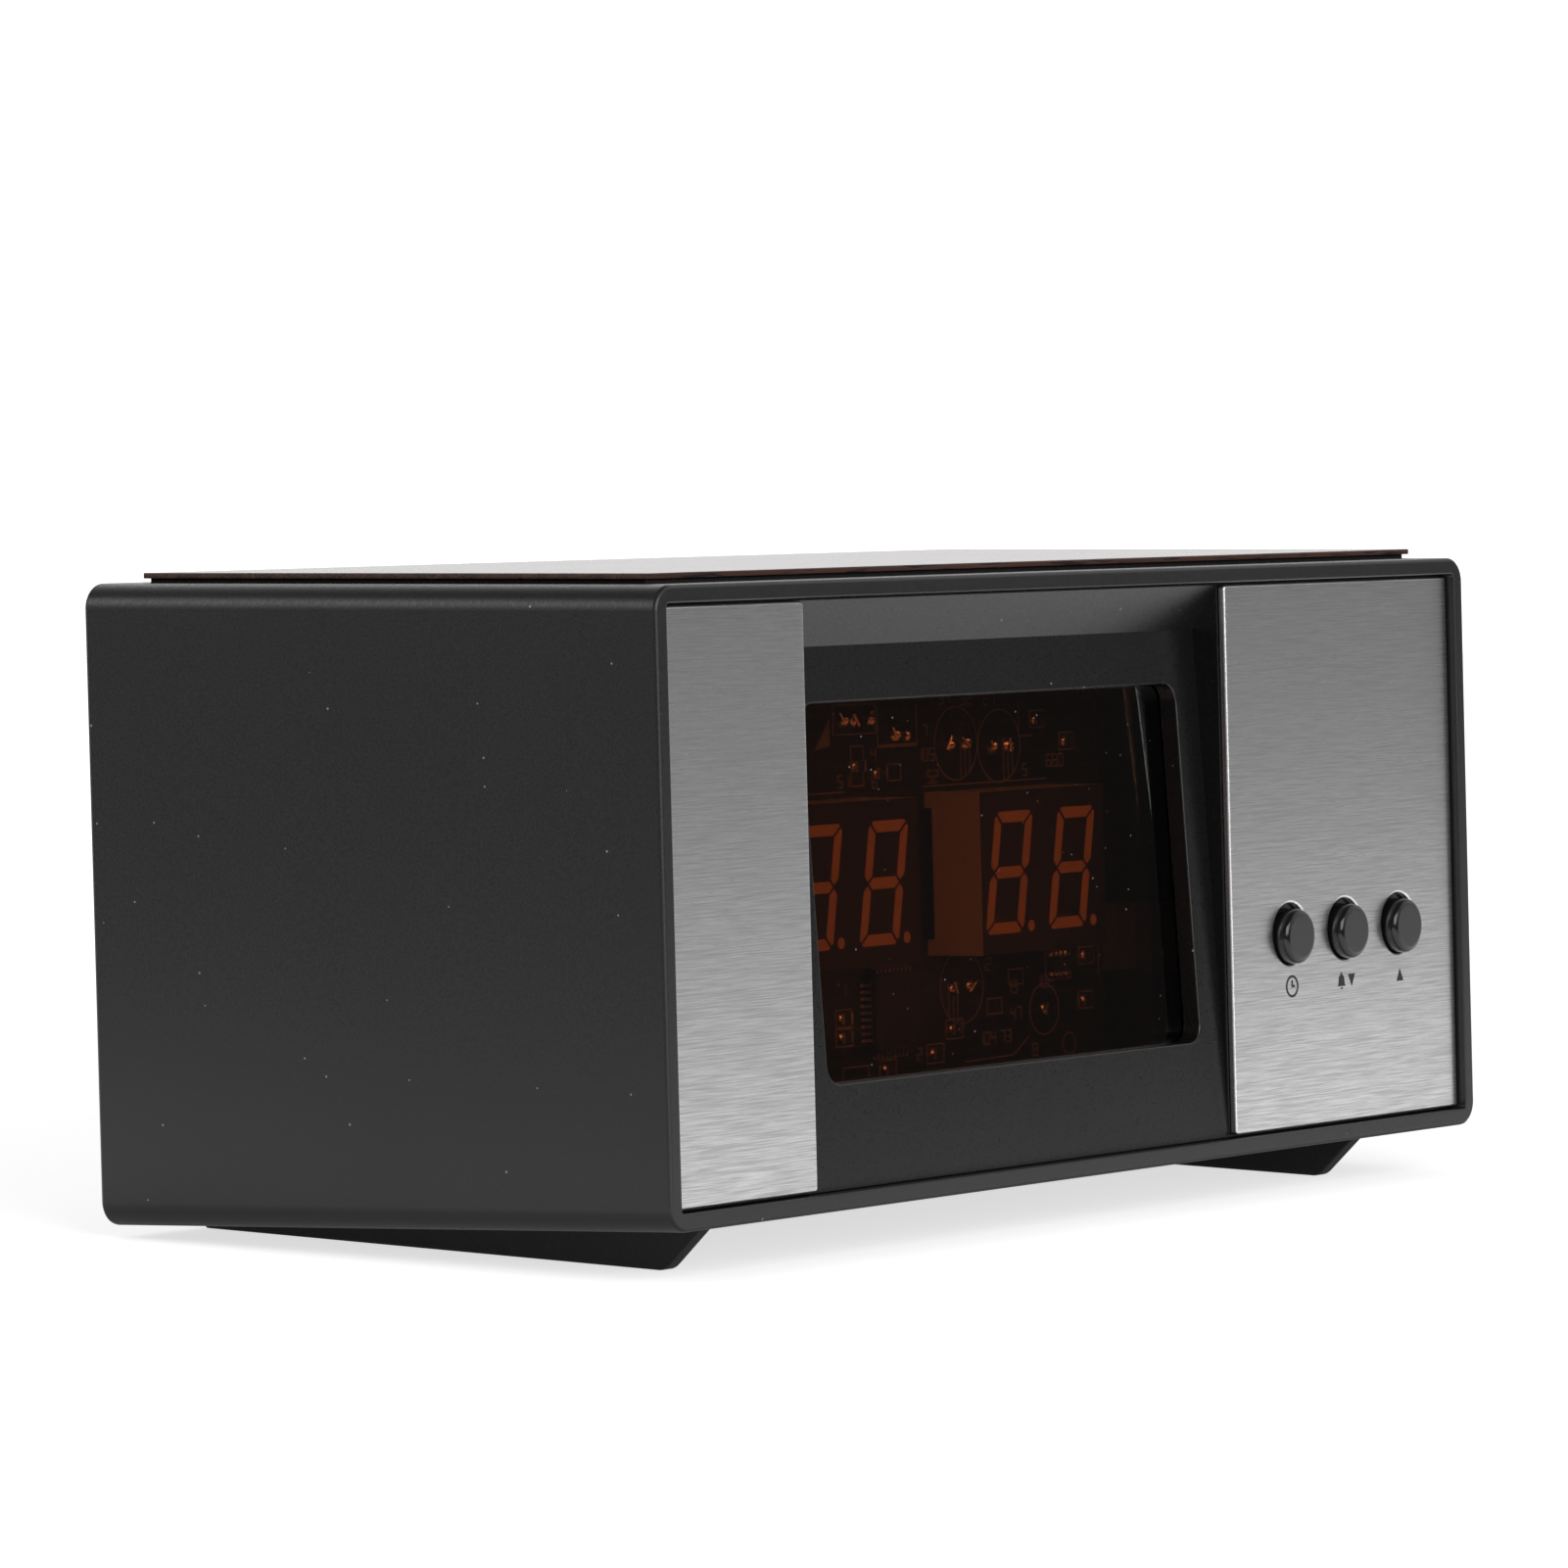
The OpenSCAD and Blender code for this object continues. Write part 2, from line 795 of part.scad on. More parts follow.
module right_digit_module() {
    color(black) in_case() digit_module(right_module_x);
}

module left_digit_segments() {
    color(orange) in_case() from_front(display_setback, segment_t) digit_pair(left_module_x);
}

module right_digit_segments() {
    color(orange) in_case() from_front(display_setback, segment_t) digit_pair(right_module_x);
}

module display_pins() {
    color(solder) in_case()
        for (x = [left_module_x, right_module_x], i = pin_steps, s = [-1, 1])
            rod([x + i * pin_pitch, mid_z + s * (pin_row - pin_r)], board_y - relief_d, relief_d, pin_r);
}

module controller_chip() {
    color(black) in_case()
        block(on_board(chip_at), board_y - chip_stand - chip_t, chip_t, chip_side, chip_side);
}

// Gull-wing leads on the four sides of the controller, drawn from its edge outwards
module chip_leads() {
    top = chip_stand + chip_t / 2;
    bend = lead_reach / 3;
    at = on_board(chip_at);
    color(solder) in_case()
        translate([at[0], board_y, at[1]])
            rotate([90, 0, 0])
                for (turn = [0 : 90 : 270], i = lead_steps)
                    rotate([0, 0, turn])
                        translate([chip_side / 2, i * lead_pitch + lead_w / 2, 0])
                            rotate([90, 0, 0])
                                linear_extrude(lead_w)
                                    polygon(band([[0, top], [bend, top], [2 * bend, lead_t / 2],
                                        [lead_reach, lead_t / 2]], lead_t));
}

module resistor_array() {
    color(black) in_case()
        block(on_board(array_at), board_y - array_size[2], array_size[2], array_size[0], array_size[1]);
}

module chip_components() {
    color(black) in_case()
        for (at = components_at)
            block(on_board(at), board_y - component[2], component[2], component[0] - 2 * end_t, component[1]);
}

module component_ends() {
    color(solder) in_case() {
        for (at = components_at, s = [-1, 1])
            block(on_board(at + [s * (component[0] - end_t) / 2, 0]), board_y - component[2], component[2],
                end_t, component[1]);
        for (i = [-1.5 : 1.5], s = [-1, 1])
            block(on_board(array_at + [i * array_pitch, s * (array_size[1] + end_t) / 2]),
                board_y - array_size[2], array_size[2], array_end_w, end_t);
    }
}

// Cones of solder on the front of the board
module solder_joints() {
    joints = concat(pads_at, [for (at = capacitors_at, s = [-1, 1]) at + [s * capacitor_lead, 0]]);
    color(solder) in_case()
        for (at = joints)
            translate([on_board(at)[0], board_y, on_board(at)[1]])
                rotate([90, 0, 0])
                    cylinder(h = solder_h, r1 = solder_r, r2 = solder_tip_r);
}

module smoothing_capacitors() {
    color(sleeve_blue) in_case()
        for (at = capacitors_at)
            translate([on_board(at)[0], board_rear, on_board(at)[1]])
                rotate([-90, 0, 0])
                    difference() {
                        cylinder(h = capacitor_l, d = capacitor_d);
                        translate([0, 0, groove_at])
                            rotate_extrude()
                                translate([capacitor_d / 2, 0])
                                    circle(groove_r);
                    }
}

module quartz_crystal() {
    color(solder) in_case()
        from_front(board_rear, crystal_size[1])
            translate(on_board(crystal_at))
                round_rect(crystal_size[0], crystal_size[2], crystal_r);
}

module alarm_buzzer() {
    color(black) in_case() difference() {
        rod(on_board(buzzer_at), board_rear, buzzer_t, buzzer_d / 2);
        rod(on_board(buzzer_at), board_rear + buzzer_t - mouth_d, mouth_d + cut, mouth_r);
    }
}

// Open holder for the backup cell, with a cut-out to push the cell out
module cell_holder() {
    color(black) in_case() difference() {
        rod(on_board(cell_at), board_rear, holder_floor + cell_t, cell_d / 2 + holder_gap + holder_wall);
        rod(on_board(cell_at), board_rear + holder_floor, cell_t + cut, cell_d / 2 + holder_gap);
        block(on_board(cell_at + [0, cell_d / 2]), board_rear + holder_floor, cell_t + cut,
            cell_d / 2, holder_notch);
    }
}

module backup_cell() {
    color(solder) in_case() rod(on_board(cell_at), board_rear + holder_floor, cell_t, cell_d / 2);
}

// Round-nosed inlet behind the rear cover, with its nose flush with the cover
module power_inlet() {
    color(black) in_case() difference() {
        union() {
            block(inlet_at, rear_seat - inlet_body[1], inlet_body[1], inlet_body[0], inlet_body[2]);
            rod(inlet_at, rear_seat - sink, cover_t + sink, inlet_nose_r);
        }
        rod(inlet_at, rear_seat + cover_t - inlet_depth, inlet_depth + cut, inlet_bore_r);
    }
}

module inlet_pin() {
    color(solder) in_case()
        rod(inlet_at, rear_seat + cover_t - inlet_depth, inlet_depth - inlet_pin_back, inlet_pin_r);
}

module power_header() {
    color(nylon) in_case()
        block([inlet_at[0], inlet_z], board_rear, header_size[1], header_size[0], header_size[2]);
}

// Flat twin lead from the header to the inlet, hanging in a shallow sag
module power_lead() {
    start = board_rear + header_size[1];
    end = rear_seat - inlet_body[1];
    path = [for (i = [0 : curve_steps])
        [start + (end - start) * i / curve_steps, inlet_z - lead_sag * pow(sin(180 * i / curve_steps), 2)]];
    color(black) in_case()
        from_side(inlet_at[0] - lead_size[0] / 2, lead_size[0])
            polygon(band(path, lead_size[1]));
}

module button_board() {
    color(board_green) in_case() difference() {
        block([button_x, button_z], button_board_y, board_t, button_board_w, button_board_h);
        for (at = button_posts)
            rod(at, button_board_y - cut, board_t + 2 * cut, small_screw_hole_r);
    }
}

module button_board_screws() {
    color(steel) in_case()
        for (at = button_posts)
            screw(at, button_board_rear, small_screw_r, board_t + button_screw_grip - pilot_fit,
                small_head_r, small_head_t);
}

module switch_bodies() {
    color(black) in_case()
        for (x = button_offsets)
            difference() {
                block([button_x + x, button_z], switch_front, switch_t, switch_side, switch_side);
                rod([button_x + x, button_z], switch_front - cut, cut + plunger_in + 1.5 * button_travel,
                    plunger_r + plunger_fit);
            }
}

module switch_plunger(x) {
    color(satin_grey) in_case()
        rod([button_x + x, button_z], flange_rear, plunger_out + plunger_in, plunger_r);
}

module set_switch_plunger() {
    switch_plunger(button_offsets[0]);
}

module down_switch_plunger() {
    switch_plunger(button_offsets[1]);
}

module up_switch_plunger() {
    switch_plunger(button_offsets[2]);
}

// A turned button: round-edged cap in front, flange behind the bezel
module button_cap(x) {
    length = flange_rear - button_tip;
    color(satin_grey) in_case()
        translate([button_x + x, flange_rear, button_z])
            rotate([90, 0, 0])
                rotate_extrude() {
                    square([flange_r, flange_t]);
                    square([button_r, length - button_round]);
                    square([button_r - button_round, length]);
                    intersection() {
                        translate([button_r - button_round, length - button_round])
                            circle(button_round);
                        square([button_r, length]);
                    }
                }
}

module set_button_cap() {
    button_cap(button_offsets[0]);
}

module down_button_cap() {
    button_cap(button_offsets[1]);
}

module up_button_cap() {
    button_cap(button_offsets[2]);
}

// Ribbon between the two boards, and its headers on their rear faces
main_header_x = recess_x + ribbon_at;
button_header_x = button_x + ribbon_button_at;

module ribbon_headers() {
    color(nylon) in_case() {
        block([main_header_x, button_z], board_rear, ribbon_header[1], ribbon_header[0], ribbon_header[2]);
        block([button_header_x, button_z], button_board_rear, ribbon_header[1], ribbon_header[0],
            ribbon_header[2]);
    }
}

module ribbon_cable() {
    start = [main_header_x, board_rear + ribbon_header[1]];
    end = [button_header_x, button_board_rear + ribbon_header[1]];
    path = [for (i = [0 : curve_steps])
        let (a = 180 * i / curve_steps)
        [start[0] + (end[0] - start[0]) * (1 - cos(a)) / 2,
            start[1] + (end[1] - start[1]) * i / curve_steps + ribbon_bulge * sin(a)]];
    color(cable_black) in_case()
        translate([0, 0, button_z - ribbon_h / 2])
            linear_extrude(ribbon_h)
                polygon(band(path, ribbon_t));
}

case_shell();
front_bezel();
display_lens();
left_trim_plate();
right_trim_plate();
wood_top_panel();
panel_backing();
left_foot();
right_foot();
rear_cover();
rear_screws();
main_board();
board_screws();
left_digit_module();
right_digit_module();
left_digit_segments();
right_digit_segments();
display_pins();
controller_chip();
chip_leads();
resistor_array();
chip_components();
component_ends();
solder_joints();
smoothing_capacitors();
quartz_crystal();
alarm_buzzer();
cell_holder();
backup_cell();
power_inlet();
inlet_pin();
power_header();
power_lead();
button_board();
button_board_screws();
switch_bodies();
ribbon_headers();
ribbon_cable();
set_button_cap();
down_button_cap();
up_button_cap();
set_switch_plunger();
down_switch_plunger();
up_switch_plunger();
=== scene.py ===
"""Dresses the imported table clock: soft-edged meshes, finishes, printed marks, light and camera."""
import json
import logging
import math
import random
from collections.abc import Callable
from dataclasses import dataclass, field
from enum import Enum

import bmesh
import bpy
from mathutils import Matrix, Vector


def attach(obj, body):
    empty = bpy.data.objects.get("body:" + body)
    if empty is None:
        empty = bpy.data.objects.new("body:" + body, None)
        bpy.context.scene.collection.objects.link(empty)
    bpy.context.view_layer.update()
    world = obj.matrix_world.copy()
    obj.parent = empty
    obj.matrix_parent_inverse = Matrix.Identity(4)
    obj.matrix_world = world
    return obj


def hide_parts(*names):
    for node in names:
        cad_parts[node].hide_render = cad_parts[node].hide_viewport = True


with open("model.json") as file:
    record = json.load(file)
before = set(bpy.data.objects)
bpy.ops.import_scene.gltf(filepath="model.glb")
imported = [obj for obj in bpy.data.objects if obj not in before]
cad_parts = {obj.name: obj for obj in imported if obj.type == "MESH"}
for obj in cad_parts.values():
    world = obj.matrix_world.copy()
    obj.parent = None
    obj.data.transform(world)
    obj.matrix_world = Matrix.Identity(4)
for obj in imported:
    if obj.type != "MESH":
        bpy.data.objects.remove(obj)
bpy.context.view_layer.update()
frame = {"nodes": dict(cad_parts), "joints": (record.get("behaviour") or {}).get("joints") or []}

log = logging.getLogger("clock")

MM = 0.001
WELD = 1e-6
FLAT_ANGLE = math.radians(0.5)
SHARP_ANGLE = math.radians(40.0)
CREASE_ANGLE = math.radians(31.0)
CLOCK_BODY = "clock"
# The way that the buttons travel, straight into the leaning front
INTO_FRONT = Vector(frame["joints"][0]["axis"])
# Nearly all of Blender's noise lies between these values
NOISE_RANGE = (0.3, 0.7)
# Finer layers inside a lump of noise: few for grain, more for clouds
GRAIN_DETAIL = 2.0
CLOUD_DETAIL = 3.0
# A bevel with a round section, and how blunt a line's corner is made at the most
ROUND_PROFILE = 0.5
LEAST_MITRE = 0.5
WHITE = "#ffffff"

Point = tuple[float, float]
Triple = tuple[float, float, float]
Colour = tuple[float, float, float, float]
Tree = bpy.types.NodeTree
Socket = bpy.types.NodeSocket
Piece = bpy.types.Object
Mesh = bmesh.types.BMesh
Inputs = dict[str | int, object]

# Corners of a plain numeral one unit high, and each numeral as lines from corner to corner
CORNERS: dict[str, Point] = {
    "a": (0.0, 1.0), "b": (0.6, 1.0), "c": (0.0, 0.5), "d": (0.6, 0.5), "e": (0.0, 0.0), "f": (0.6, 0.0),
}
NUMERALS: dict[str, tuple[str, ...]] = {
    "0": ("abfea",), "1": ("bf",), "2": ("abdcef",), "3": ("abfe", "cd"), "4": ("acd", "bf"),
    "5": ("bacdfe",), "6": ("bacefdc",), "7": ("abf",), "8": ("abfea", "cd"), "9": ("dcabfe",),
}
NUMERAL_STEP = 0.9


class Normal(Enum):
    """Which way a surface is taken to face: smoothed by its shading, or flat as each face lies."""

    SMOOTH = "Normal"
    FLAT = "True Normal"


class Pointing(Enum):
    """Which way a triangle points."""

    UP = 1.0
    DOWN = -1.0


class Half(Enum):
    """Which half of a circle is hatched."""

    LEFT = -1.0
    RIGHT = 1.0


def linear(code: str) -> Colour:
    """Turns an sRGB hex colour into linear light.

    Args:
        code: The colour as "#rrggbb".

    Returns:
        Red, green, blue and an alpha of 1.
    """
    parts = [int(code[i : i + 2], 16) / 255 for i in (1, 3, 5)]
    light = [c / 12.92 if c <= 0.04045 else ((c + 0.055) / 1.055) ** 2.4 for c in parts]
    return (light[0], light[1], light[2], 1.0)


def per_mm(size_mm: float) -> float:
    """Gives the texture scale at which one repeat is size_mm long."""
    return 1.0 / (size_mm * MM)


def add_node(tree: Tree, kind: str, inputs: Inputs | None = None, **settings: object) -> bpy.types.Node:
    """Adds a node with its settings, values and links.

    Args:
        tree: The node tree that takes the node.
        kind: Blender's name for the type of node.
        inputs: A value or an output socket for each input, by name or number.
        **settings: Properties of the node itself.

    Returns:
        The new node.
    """
    node = tree.nodes.new(kind)
    for name, value in settings.items():
        setattr(node, name, value)
    for key, value in (inputs or {}).items():
        if isinstance(value, Socket):
            tree.links.new(value, node.inputs[key])
        else:
            node.inputs[key].default_value = value
    return node


def new_tree(owner: bpy.types.Material | bpy.types.World) -> Tree:
    """Gives a new material or world an empty node tree.

    Args:
        owner: The material or world.

    Returns:
        Its node tree.
    """
    owner.use_nodes = True
    owner.node_tree.nodes.clear()
    return owner.node_tree


def coordinates(tree: Tree) -> Socket:
    """Gives the places on a piece, in metres of the shared frame."""
    return add_node(tree, "ShaderNodeTexCoord").outputs["Object"]


def noise(tree: Tree, size_mm: float, detail: float) -> Socket:
    """Adds even noise with lumps of one size."""
    inputs = {"Vector": coordinates(tree), "Scale": per_mm(size_mm), "Detail": detail}
    return add_node(tree, "ShaderNodeTexNoise", inputs).outputs["Fac"]


def drawn_noise(tree: Tree, length_mm: float, width_mm: float, character: dict[str, float]) -> Socket:
    """Adds noise that is drawn out along X.

    Args:
        tree: The material's node tree.
        length_mm: Length of a streak.
        width_mm: Its width.
        character: Further inputs of the noise.

    Returns:
        The socket of its value.
    """
    scale = (per_mm(length_mm), per_mm(width_mm), per_mm(width_mm))
    drawn = add_node(tree, "ShaderNodeMapping", {"Vector": coordinates(tree), "Scale": scale}).outputs[0]
    return add_node(tree, "ShaderNodeTexNoise", {"Vector": drawn, "Scale": 1.0, **character}).outputs["Fac"]


def cells(tree: Tree, size_mm: float) -> Socket:
    """Adds cells of one size, as the distance from the nearest cell's middle."""
    inputs = {"Vector": coordinates(tree), "Scale": per_mm(size_mm)}
    return add_node(tree, "ShaderNodeTexVoronoi", inputs).outputs["Distance"]


def ranged(
    tree: Tree,
    value: Socket,
    start: float,
    end: float,
    first: float = 0.0,
    last: float = 1.0,
    soft: bool = False,
) -> Socket:
    """Carries a value over from one range to another.

    Args:
        tree: The node tree.
        value: The value.
        start: The value that becomes first.
        end: The value that becomes last.
        first: Where the new range begins.
        last: Where it ends.
        soft: True to ease in and out.

    Returns:
        The socket of the new value.
    """
    inputs = {"Value": value, "From Min": start, "From Max": end, "To Min": first, "To Max": last}
    easing = "SMOOTHSTEP" if soft else "LINEAR"
    return add_node(tree, "ShaderNodeMapRange", inputs, interpolation_type=easing).outputs[0]


def reckon(tree: Tree, operation: str, first: float | Socket, second: float | Socket) -> Socket:
    """Works out one operation on two values."""
    return add_node(tree, "ShaderNodeMath", {0: first, 1: second}, operation=operation).outputs[0]


def blend(tree: Tree, part: Socket, first: str | Socket, second: str | Socket) -> Socket:
    """Mixes two colours.

    Args:
        tree: The material's node tree.
        part: The share of the second colour.
        first: A hex colour, or a socket that gives a colour.
        second: The other colour, in either form.

    Returns:
        The socket of the mixed colour.
    """
    one, two = (linear(colour) if isinstance(colour, str) else colour for colour in (first, second))
    # A Mix node has its colours at inputs 6 and 7 and at output 2
    return add_node(tree, "ShaderNodeMix", {0: part, 6: one, 7: two}, data_type="RGBA").outputs[2]


def relief(tree: Tree, height: Socket, depth_mm: float, strength: float | Socket) -> Socket:
    """Turns heights from 0 to 1 into a bumpy normal."""
    inputs = {"Height": height, "Strength": strength, "Distance": depth_mm * MM}
    return add_node(tree, "ShaderNodeBump", inputs).outputs["Normal"]


def dot(tree: Tree, first: Socket, second: Triple | Vector) -> Socket:
    """Measures how far one direction goes along another."""
    inputs = {0: first, 1: second}
    return add_node(tree, "ShaderNodeVectorMath", inputs, operation="DOT_PRODUCT").outputs["Value"]


def level(tree: Tree, part: Socket, first: float | Socket, second: float | Socket) -> Socket:
    """Mixes two levels, with part as the share of the second."""
    inputs = {0: part, 2: first, 3: second}
    return add_node(tree, "ShaderNodeMix", inputs, data_type="FLOAT").outputs[0]


def facing_front(tree: Tree, normal: Normal) -> Socket:
    """Measures how far a surface faces the front: 1 where it faces straight there."""
    return dot(tree, add_node(tree, "ShaderNodeNewGeometry").outputs[normal.value], -INTO_FRONT)


@dataclass(frozen=True)
class Finish:
    """A material: what it is, how its surface was made, and the record's slot for it."""

    name: str
    slot: str
    colour: str
    roughness: float
    ior: float = 1.5

    def looks(self, tree: Tree) -> Inputs:
        """Builds what gives the surface its look.

        Args:
            tree: The material's node tree.

        Returns:
            A value or a socket for each further input of the surface's shader.
        """
        raise NotImplementedError

    def surface(self, tree: Tree) -> Socket:
        """Builds the shader and gives its socket."""
        inputs = {"Roughness": self.roughness, "IOR": self.ior, **self.looks(tree)}
        return add_node(tree, "ShaderNodeBsdfPrincipled", inputs).outputs[0]

    def material(self) -> bpy.types.Material:
        """Makes the material once, and finds it again on later calls.

        Returns:
            The Blender material.
        """
        made = bpy.data.materials.get(self.name)
        if made is None:
            made = bpy.data.materials.new(self.name)
            tree = new_tree(made)
            add_node(tree, "ShaderNodeOutputMaterial", {"Surface": self.surface(tree)})
        return made


@dataclass(frozen=True)
class MouldedPlastic(Finish):
    """Plastic moulded in an eroded tool: a fine even grain that breaks up the highlights.

    The grain of the real tool is about 0.1 mm; it is drawn coarser so that it shows.
    """

    shade: str = "#101010"
    ior: float = 1.53
    grain_mm: float = 0.35
    relief_mm: float = 0.012
    relief_strength: float = 0.6
    rough_spread: float = 0.05
    cloud_mm: float = 18.0
    dust_mm: float = 0.0
    dust_colour: str = "#8c8c8c"
    dust_reach: float = 0.035

    def looks(self, tree: Tree) -> Inputs:
        """Builds grain, faint cloudiness and, if asked for, a few pale specks of dust.

        Args:
            tree: The material's node tree.

        Returns:
            The shader's inputs.
        """
        grain = noise(tree, self.grain_mm, GRAIN_DETAIL)
        colour = blend(tree, noise(tree, self.cloud_mm, CLOUD_DETAIL), self.colour, self.shade)
        if self.dust_mm:
            clear = reckon(tree, "GREATER_THAN", cells(tree, self.dust_mm), self.dust_reach)
            colour = blend(tree, clear, self.dust_colour, colour)
        rough = (self.roughness - self.rough_spread, self.roughness + self.rough_spread)
        return {
            "Base Color": colour,
            "Roughness": ranged(tree, grain, *NOISE_RANGE, *rough),
            "Normal": relief(tree, grain, self.relief_mm, self.relief_strength),
        }


@dataclass(frozen=True)
class SparkedButton(Finish):
    """Plastic from a tool with a sparked face and polished sides: a matt grey face, and glossy sides
    painted darker as shade.

    The edge is given as the cosines between which the side turns into the face.
    """

    painted_shade_side_colour: str = "#131314"
    side_roughness: float = 0.16
    edge: Point = (0.95, 1.0)
    ior: float = 1.53
    grain_mm: float = 0.2
    relief_mm: float = 0.004

    def looks(self, tree: Tree) -> Inputs:
        """Builds the grained face, and the sides in a darker colour that is painted shade.

        Args:
            tree: The material's node tree.

        Returns:
            The shader's inputs.
        """
        face = ranged(tree, facing_front(tree, Normal.SMOOTH), *self.edge)
        return {
            # The sides' darker colour is painted shade; face and sides are one plastic
            "Base Color": blend(tree, face, self.painted_shade_side_colour, self.colour),
            "Roughness": ranged(tree, face, 0.0, 1.0, self.side_roughness, self.roughness),
            "Normal": relief(tree, noise(tree, self.grain_mm, GRAIN_DETAIL), self.relief_mm, face),
        }


@dataclass(frozen=True)
class BrushedAluminium(Finish):
    """Rolled sheet brushed along its width: short level streaks, and highlights drawn out upright.

    The real hairlines are about 0.05 mm wide; they are drawn coarser so that they show.
    """

    streak_colour: str = "#f4f4f5"
    streak_mm: float = 0.14
    streak_length_mm: float = 7.0
    streak_range: Point = (0.38, 0.62)
    rough_spread: float = 0.03
    relief_mm: float = 0.004
    relief_strength: float = 0.5
    stretch: float = 0.58
    quarter_turn: float = 0.25

    def looks(self, tree: Tree) -> Inputs:
        """Builds streaks in colour, roughness and relief.

        Args:
            tree: The material's node tree.

        Returns:
            The shader's inputs.
        """
        character = {"Detail": 3.0, "Roughness": 0.6}
        streak = drawn_noise(tree, self.streak_length_mm, self.streak_mm, character)
        pale = ranged(tree, streak, *self.streak_range)
        rough = (self.roughness + self.rough_spread, self.roughness - self.rough_spread)
        return {
            "Base Color": blend(tree, pale, self.colour, self.streak_colour),
            "Metallic": 1.0,
            "Roughness": ranged(tree, streak, *NOISE_RANGE, *rough),
            "Normal": relief(tree, streak, self.relief_mm, self.relief_strength),
            "Tangent": add_node(tree, "ShaderNodeCombineXYZ", {"X": 1.0}).outputs[0],
            "Anisotropic": self.stretch,
            "Anisotropic Rotation": self.quarter_turn,
        }


@dataclass(frozen=True)
class LacqueredWalnut(Finish):
    """Sliced walnut veneer under a thin coat of lacquer: dark bands, short pores, bright at low angles."""

    band_colour: str = "#5a3529"
    band_mm: float = 2.2
    band_length_mm: float = 70.0
    band_range: Point = (0.32, 0.68)
    pore_colour: str = "#1d0f0c"
    pore_mm: float = 0.25
    pore_length_mm: float = 5.0
    pore_range: Point = (0.36, 0.46)
    pore_depth_mm: float = 0.05
    pore_strength: float = 0.5
    waviness: float = 0.4
    ior: float = 1.48
    lacquer: float = 0.4
    lacquer_roughness: float = 0.07
    lacquer_ior: float = 1.5

    def looks(self, tree: Tree) -> Inputs:
        """Builds the grain bands, the pores and the lacquer.

        Args:
            tree: The material's node tree.

        Returns:
            The shader's inputs.
        """
        band = drawn_noise(
            tree, self.band_length_mm, self.band_mm, {"Detail": 4.0, "Distortion": self.waviness}
        )
        pore = drawn_noise(
            tree, self.pore_length_mm, self.pore_mm, {"Detail": 1.0, "Distortion": self.waviness}
        )
        wood = blend(tree, ranged(tree, band, *self.band_range), self.colour, self.band_colour)
        between = ranged(tree, pore, *self.pore_range)
        return {
            "Base Color": blend(tree, between, self.pore_colour, wood),
            "Normal": relief(tree, between, self.pore_depth_mm, self.pore_strength),
            "Coat Weight": self.lacquer,
            "Coat Roughness": self.lacquer_roughness,
            "Coat IOR": self.lacquer_ior,
        }


@dataclass(frozen=True)
class FoamTape(Finish):
    """Closed-cell foam tape, die cut: dull black with small open cells along the cut."""

    cell_mm: float = 0.45
    cell_colour: str = "#050505"
    cell_depth_mm: float = 0.1
    cell_strength: float = 0.8

    def looks(self, tree: Tree) -> Inputs:
        """Builds the cells.

        Args:
            tree: The material's node tree.

        Returns:
            The shader's inputs.
        """
        cell = cells(tree, self.cell_mm)
        return {
            "Base Color": blend(tree, cell, self.cell_colour, self.colour),
            "Normal": relief(tree, cell, self.cell_depth_mm, self.cell_strength),
        }


@dataclass(frozen=True)
class PolishedAcrylic(Finish):
    """Cast acrylic, dyed amber and polished: sharp reflections over a dark, warm view of the inside."""

    ior: float = 1.49
    smear_mm: float = 22.0
    smear_spread: float = 0.03
    dust_mm: float = 2.6
    dust_colour: str = "#a5a5a5"
    dust_reach: float = 0.036

    def looks(self, tree: Tree) -> Inputs:
        """Builds the dye, faint smears and specks of dust.

        Args:
            tree: The material's node tree.

        Returns:
            The shader's inputs.
        """
        smear = noise(tree, self.smear_mm, CLOUD_DETAIL)
        clear = reckon(tree, "GREATER_THAN", cells(tree, self.dust_mm), self.dust_reach)
        rough = (self.roughness, self.roughness + self.smear_spread)
        return {
            "Base Color": blend(tree, clear, self.dust_colour, self.colour),
            "Roughness": ranged(tree, smear, 0.0, 1.0, *rough),
            "Transmission Weight": clear,
        }

    def surface(self, tree: Tree) -> Socket:
        """Builds the pane, which lets lamps light what is behind it.

        Args:
            tree: The material's node tree.

        Returns:
            The shader's socket.
        """
        # A shadow ray passes two faces, so each takes the square root of the dye
        dye = [math.sqrt(c) for c in linear(self.colour)]
        passed = add_node(tree, "ShaderNodeBsdfTransparent", {"Color": dye}).outputs[0]
        shadow = add_node(tree, "ShaderNodeLightPath").outputs["Is Shadow Ray"]
        pane = super().surface(tree)
        return add_node(tree, "ShaderNodeMixShader", {0: shadow, 1: pane, 2: passed}).outputs[0]


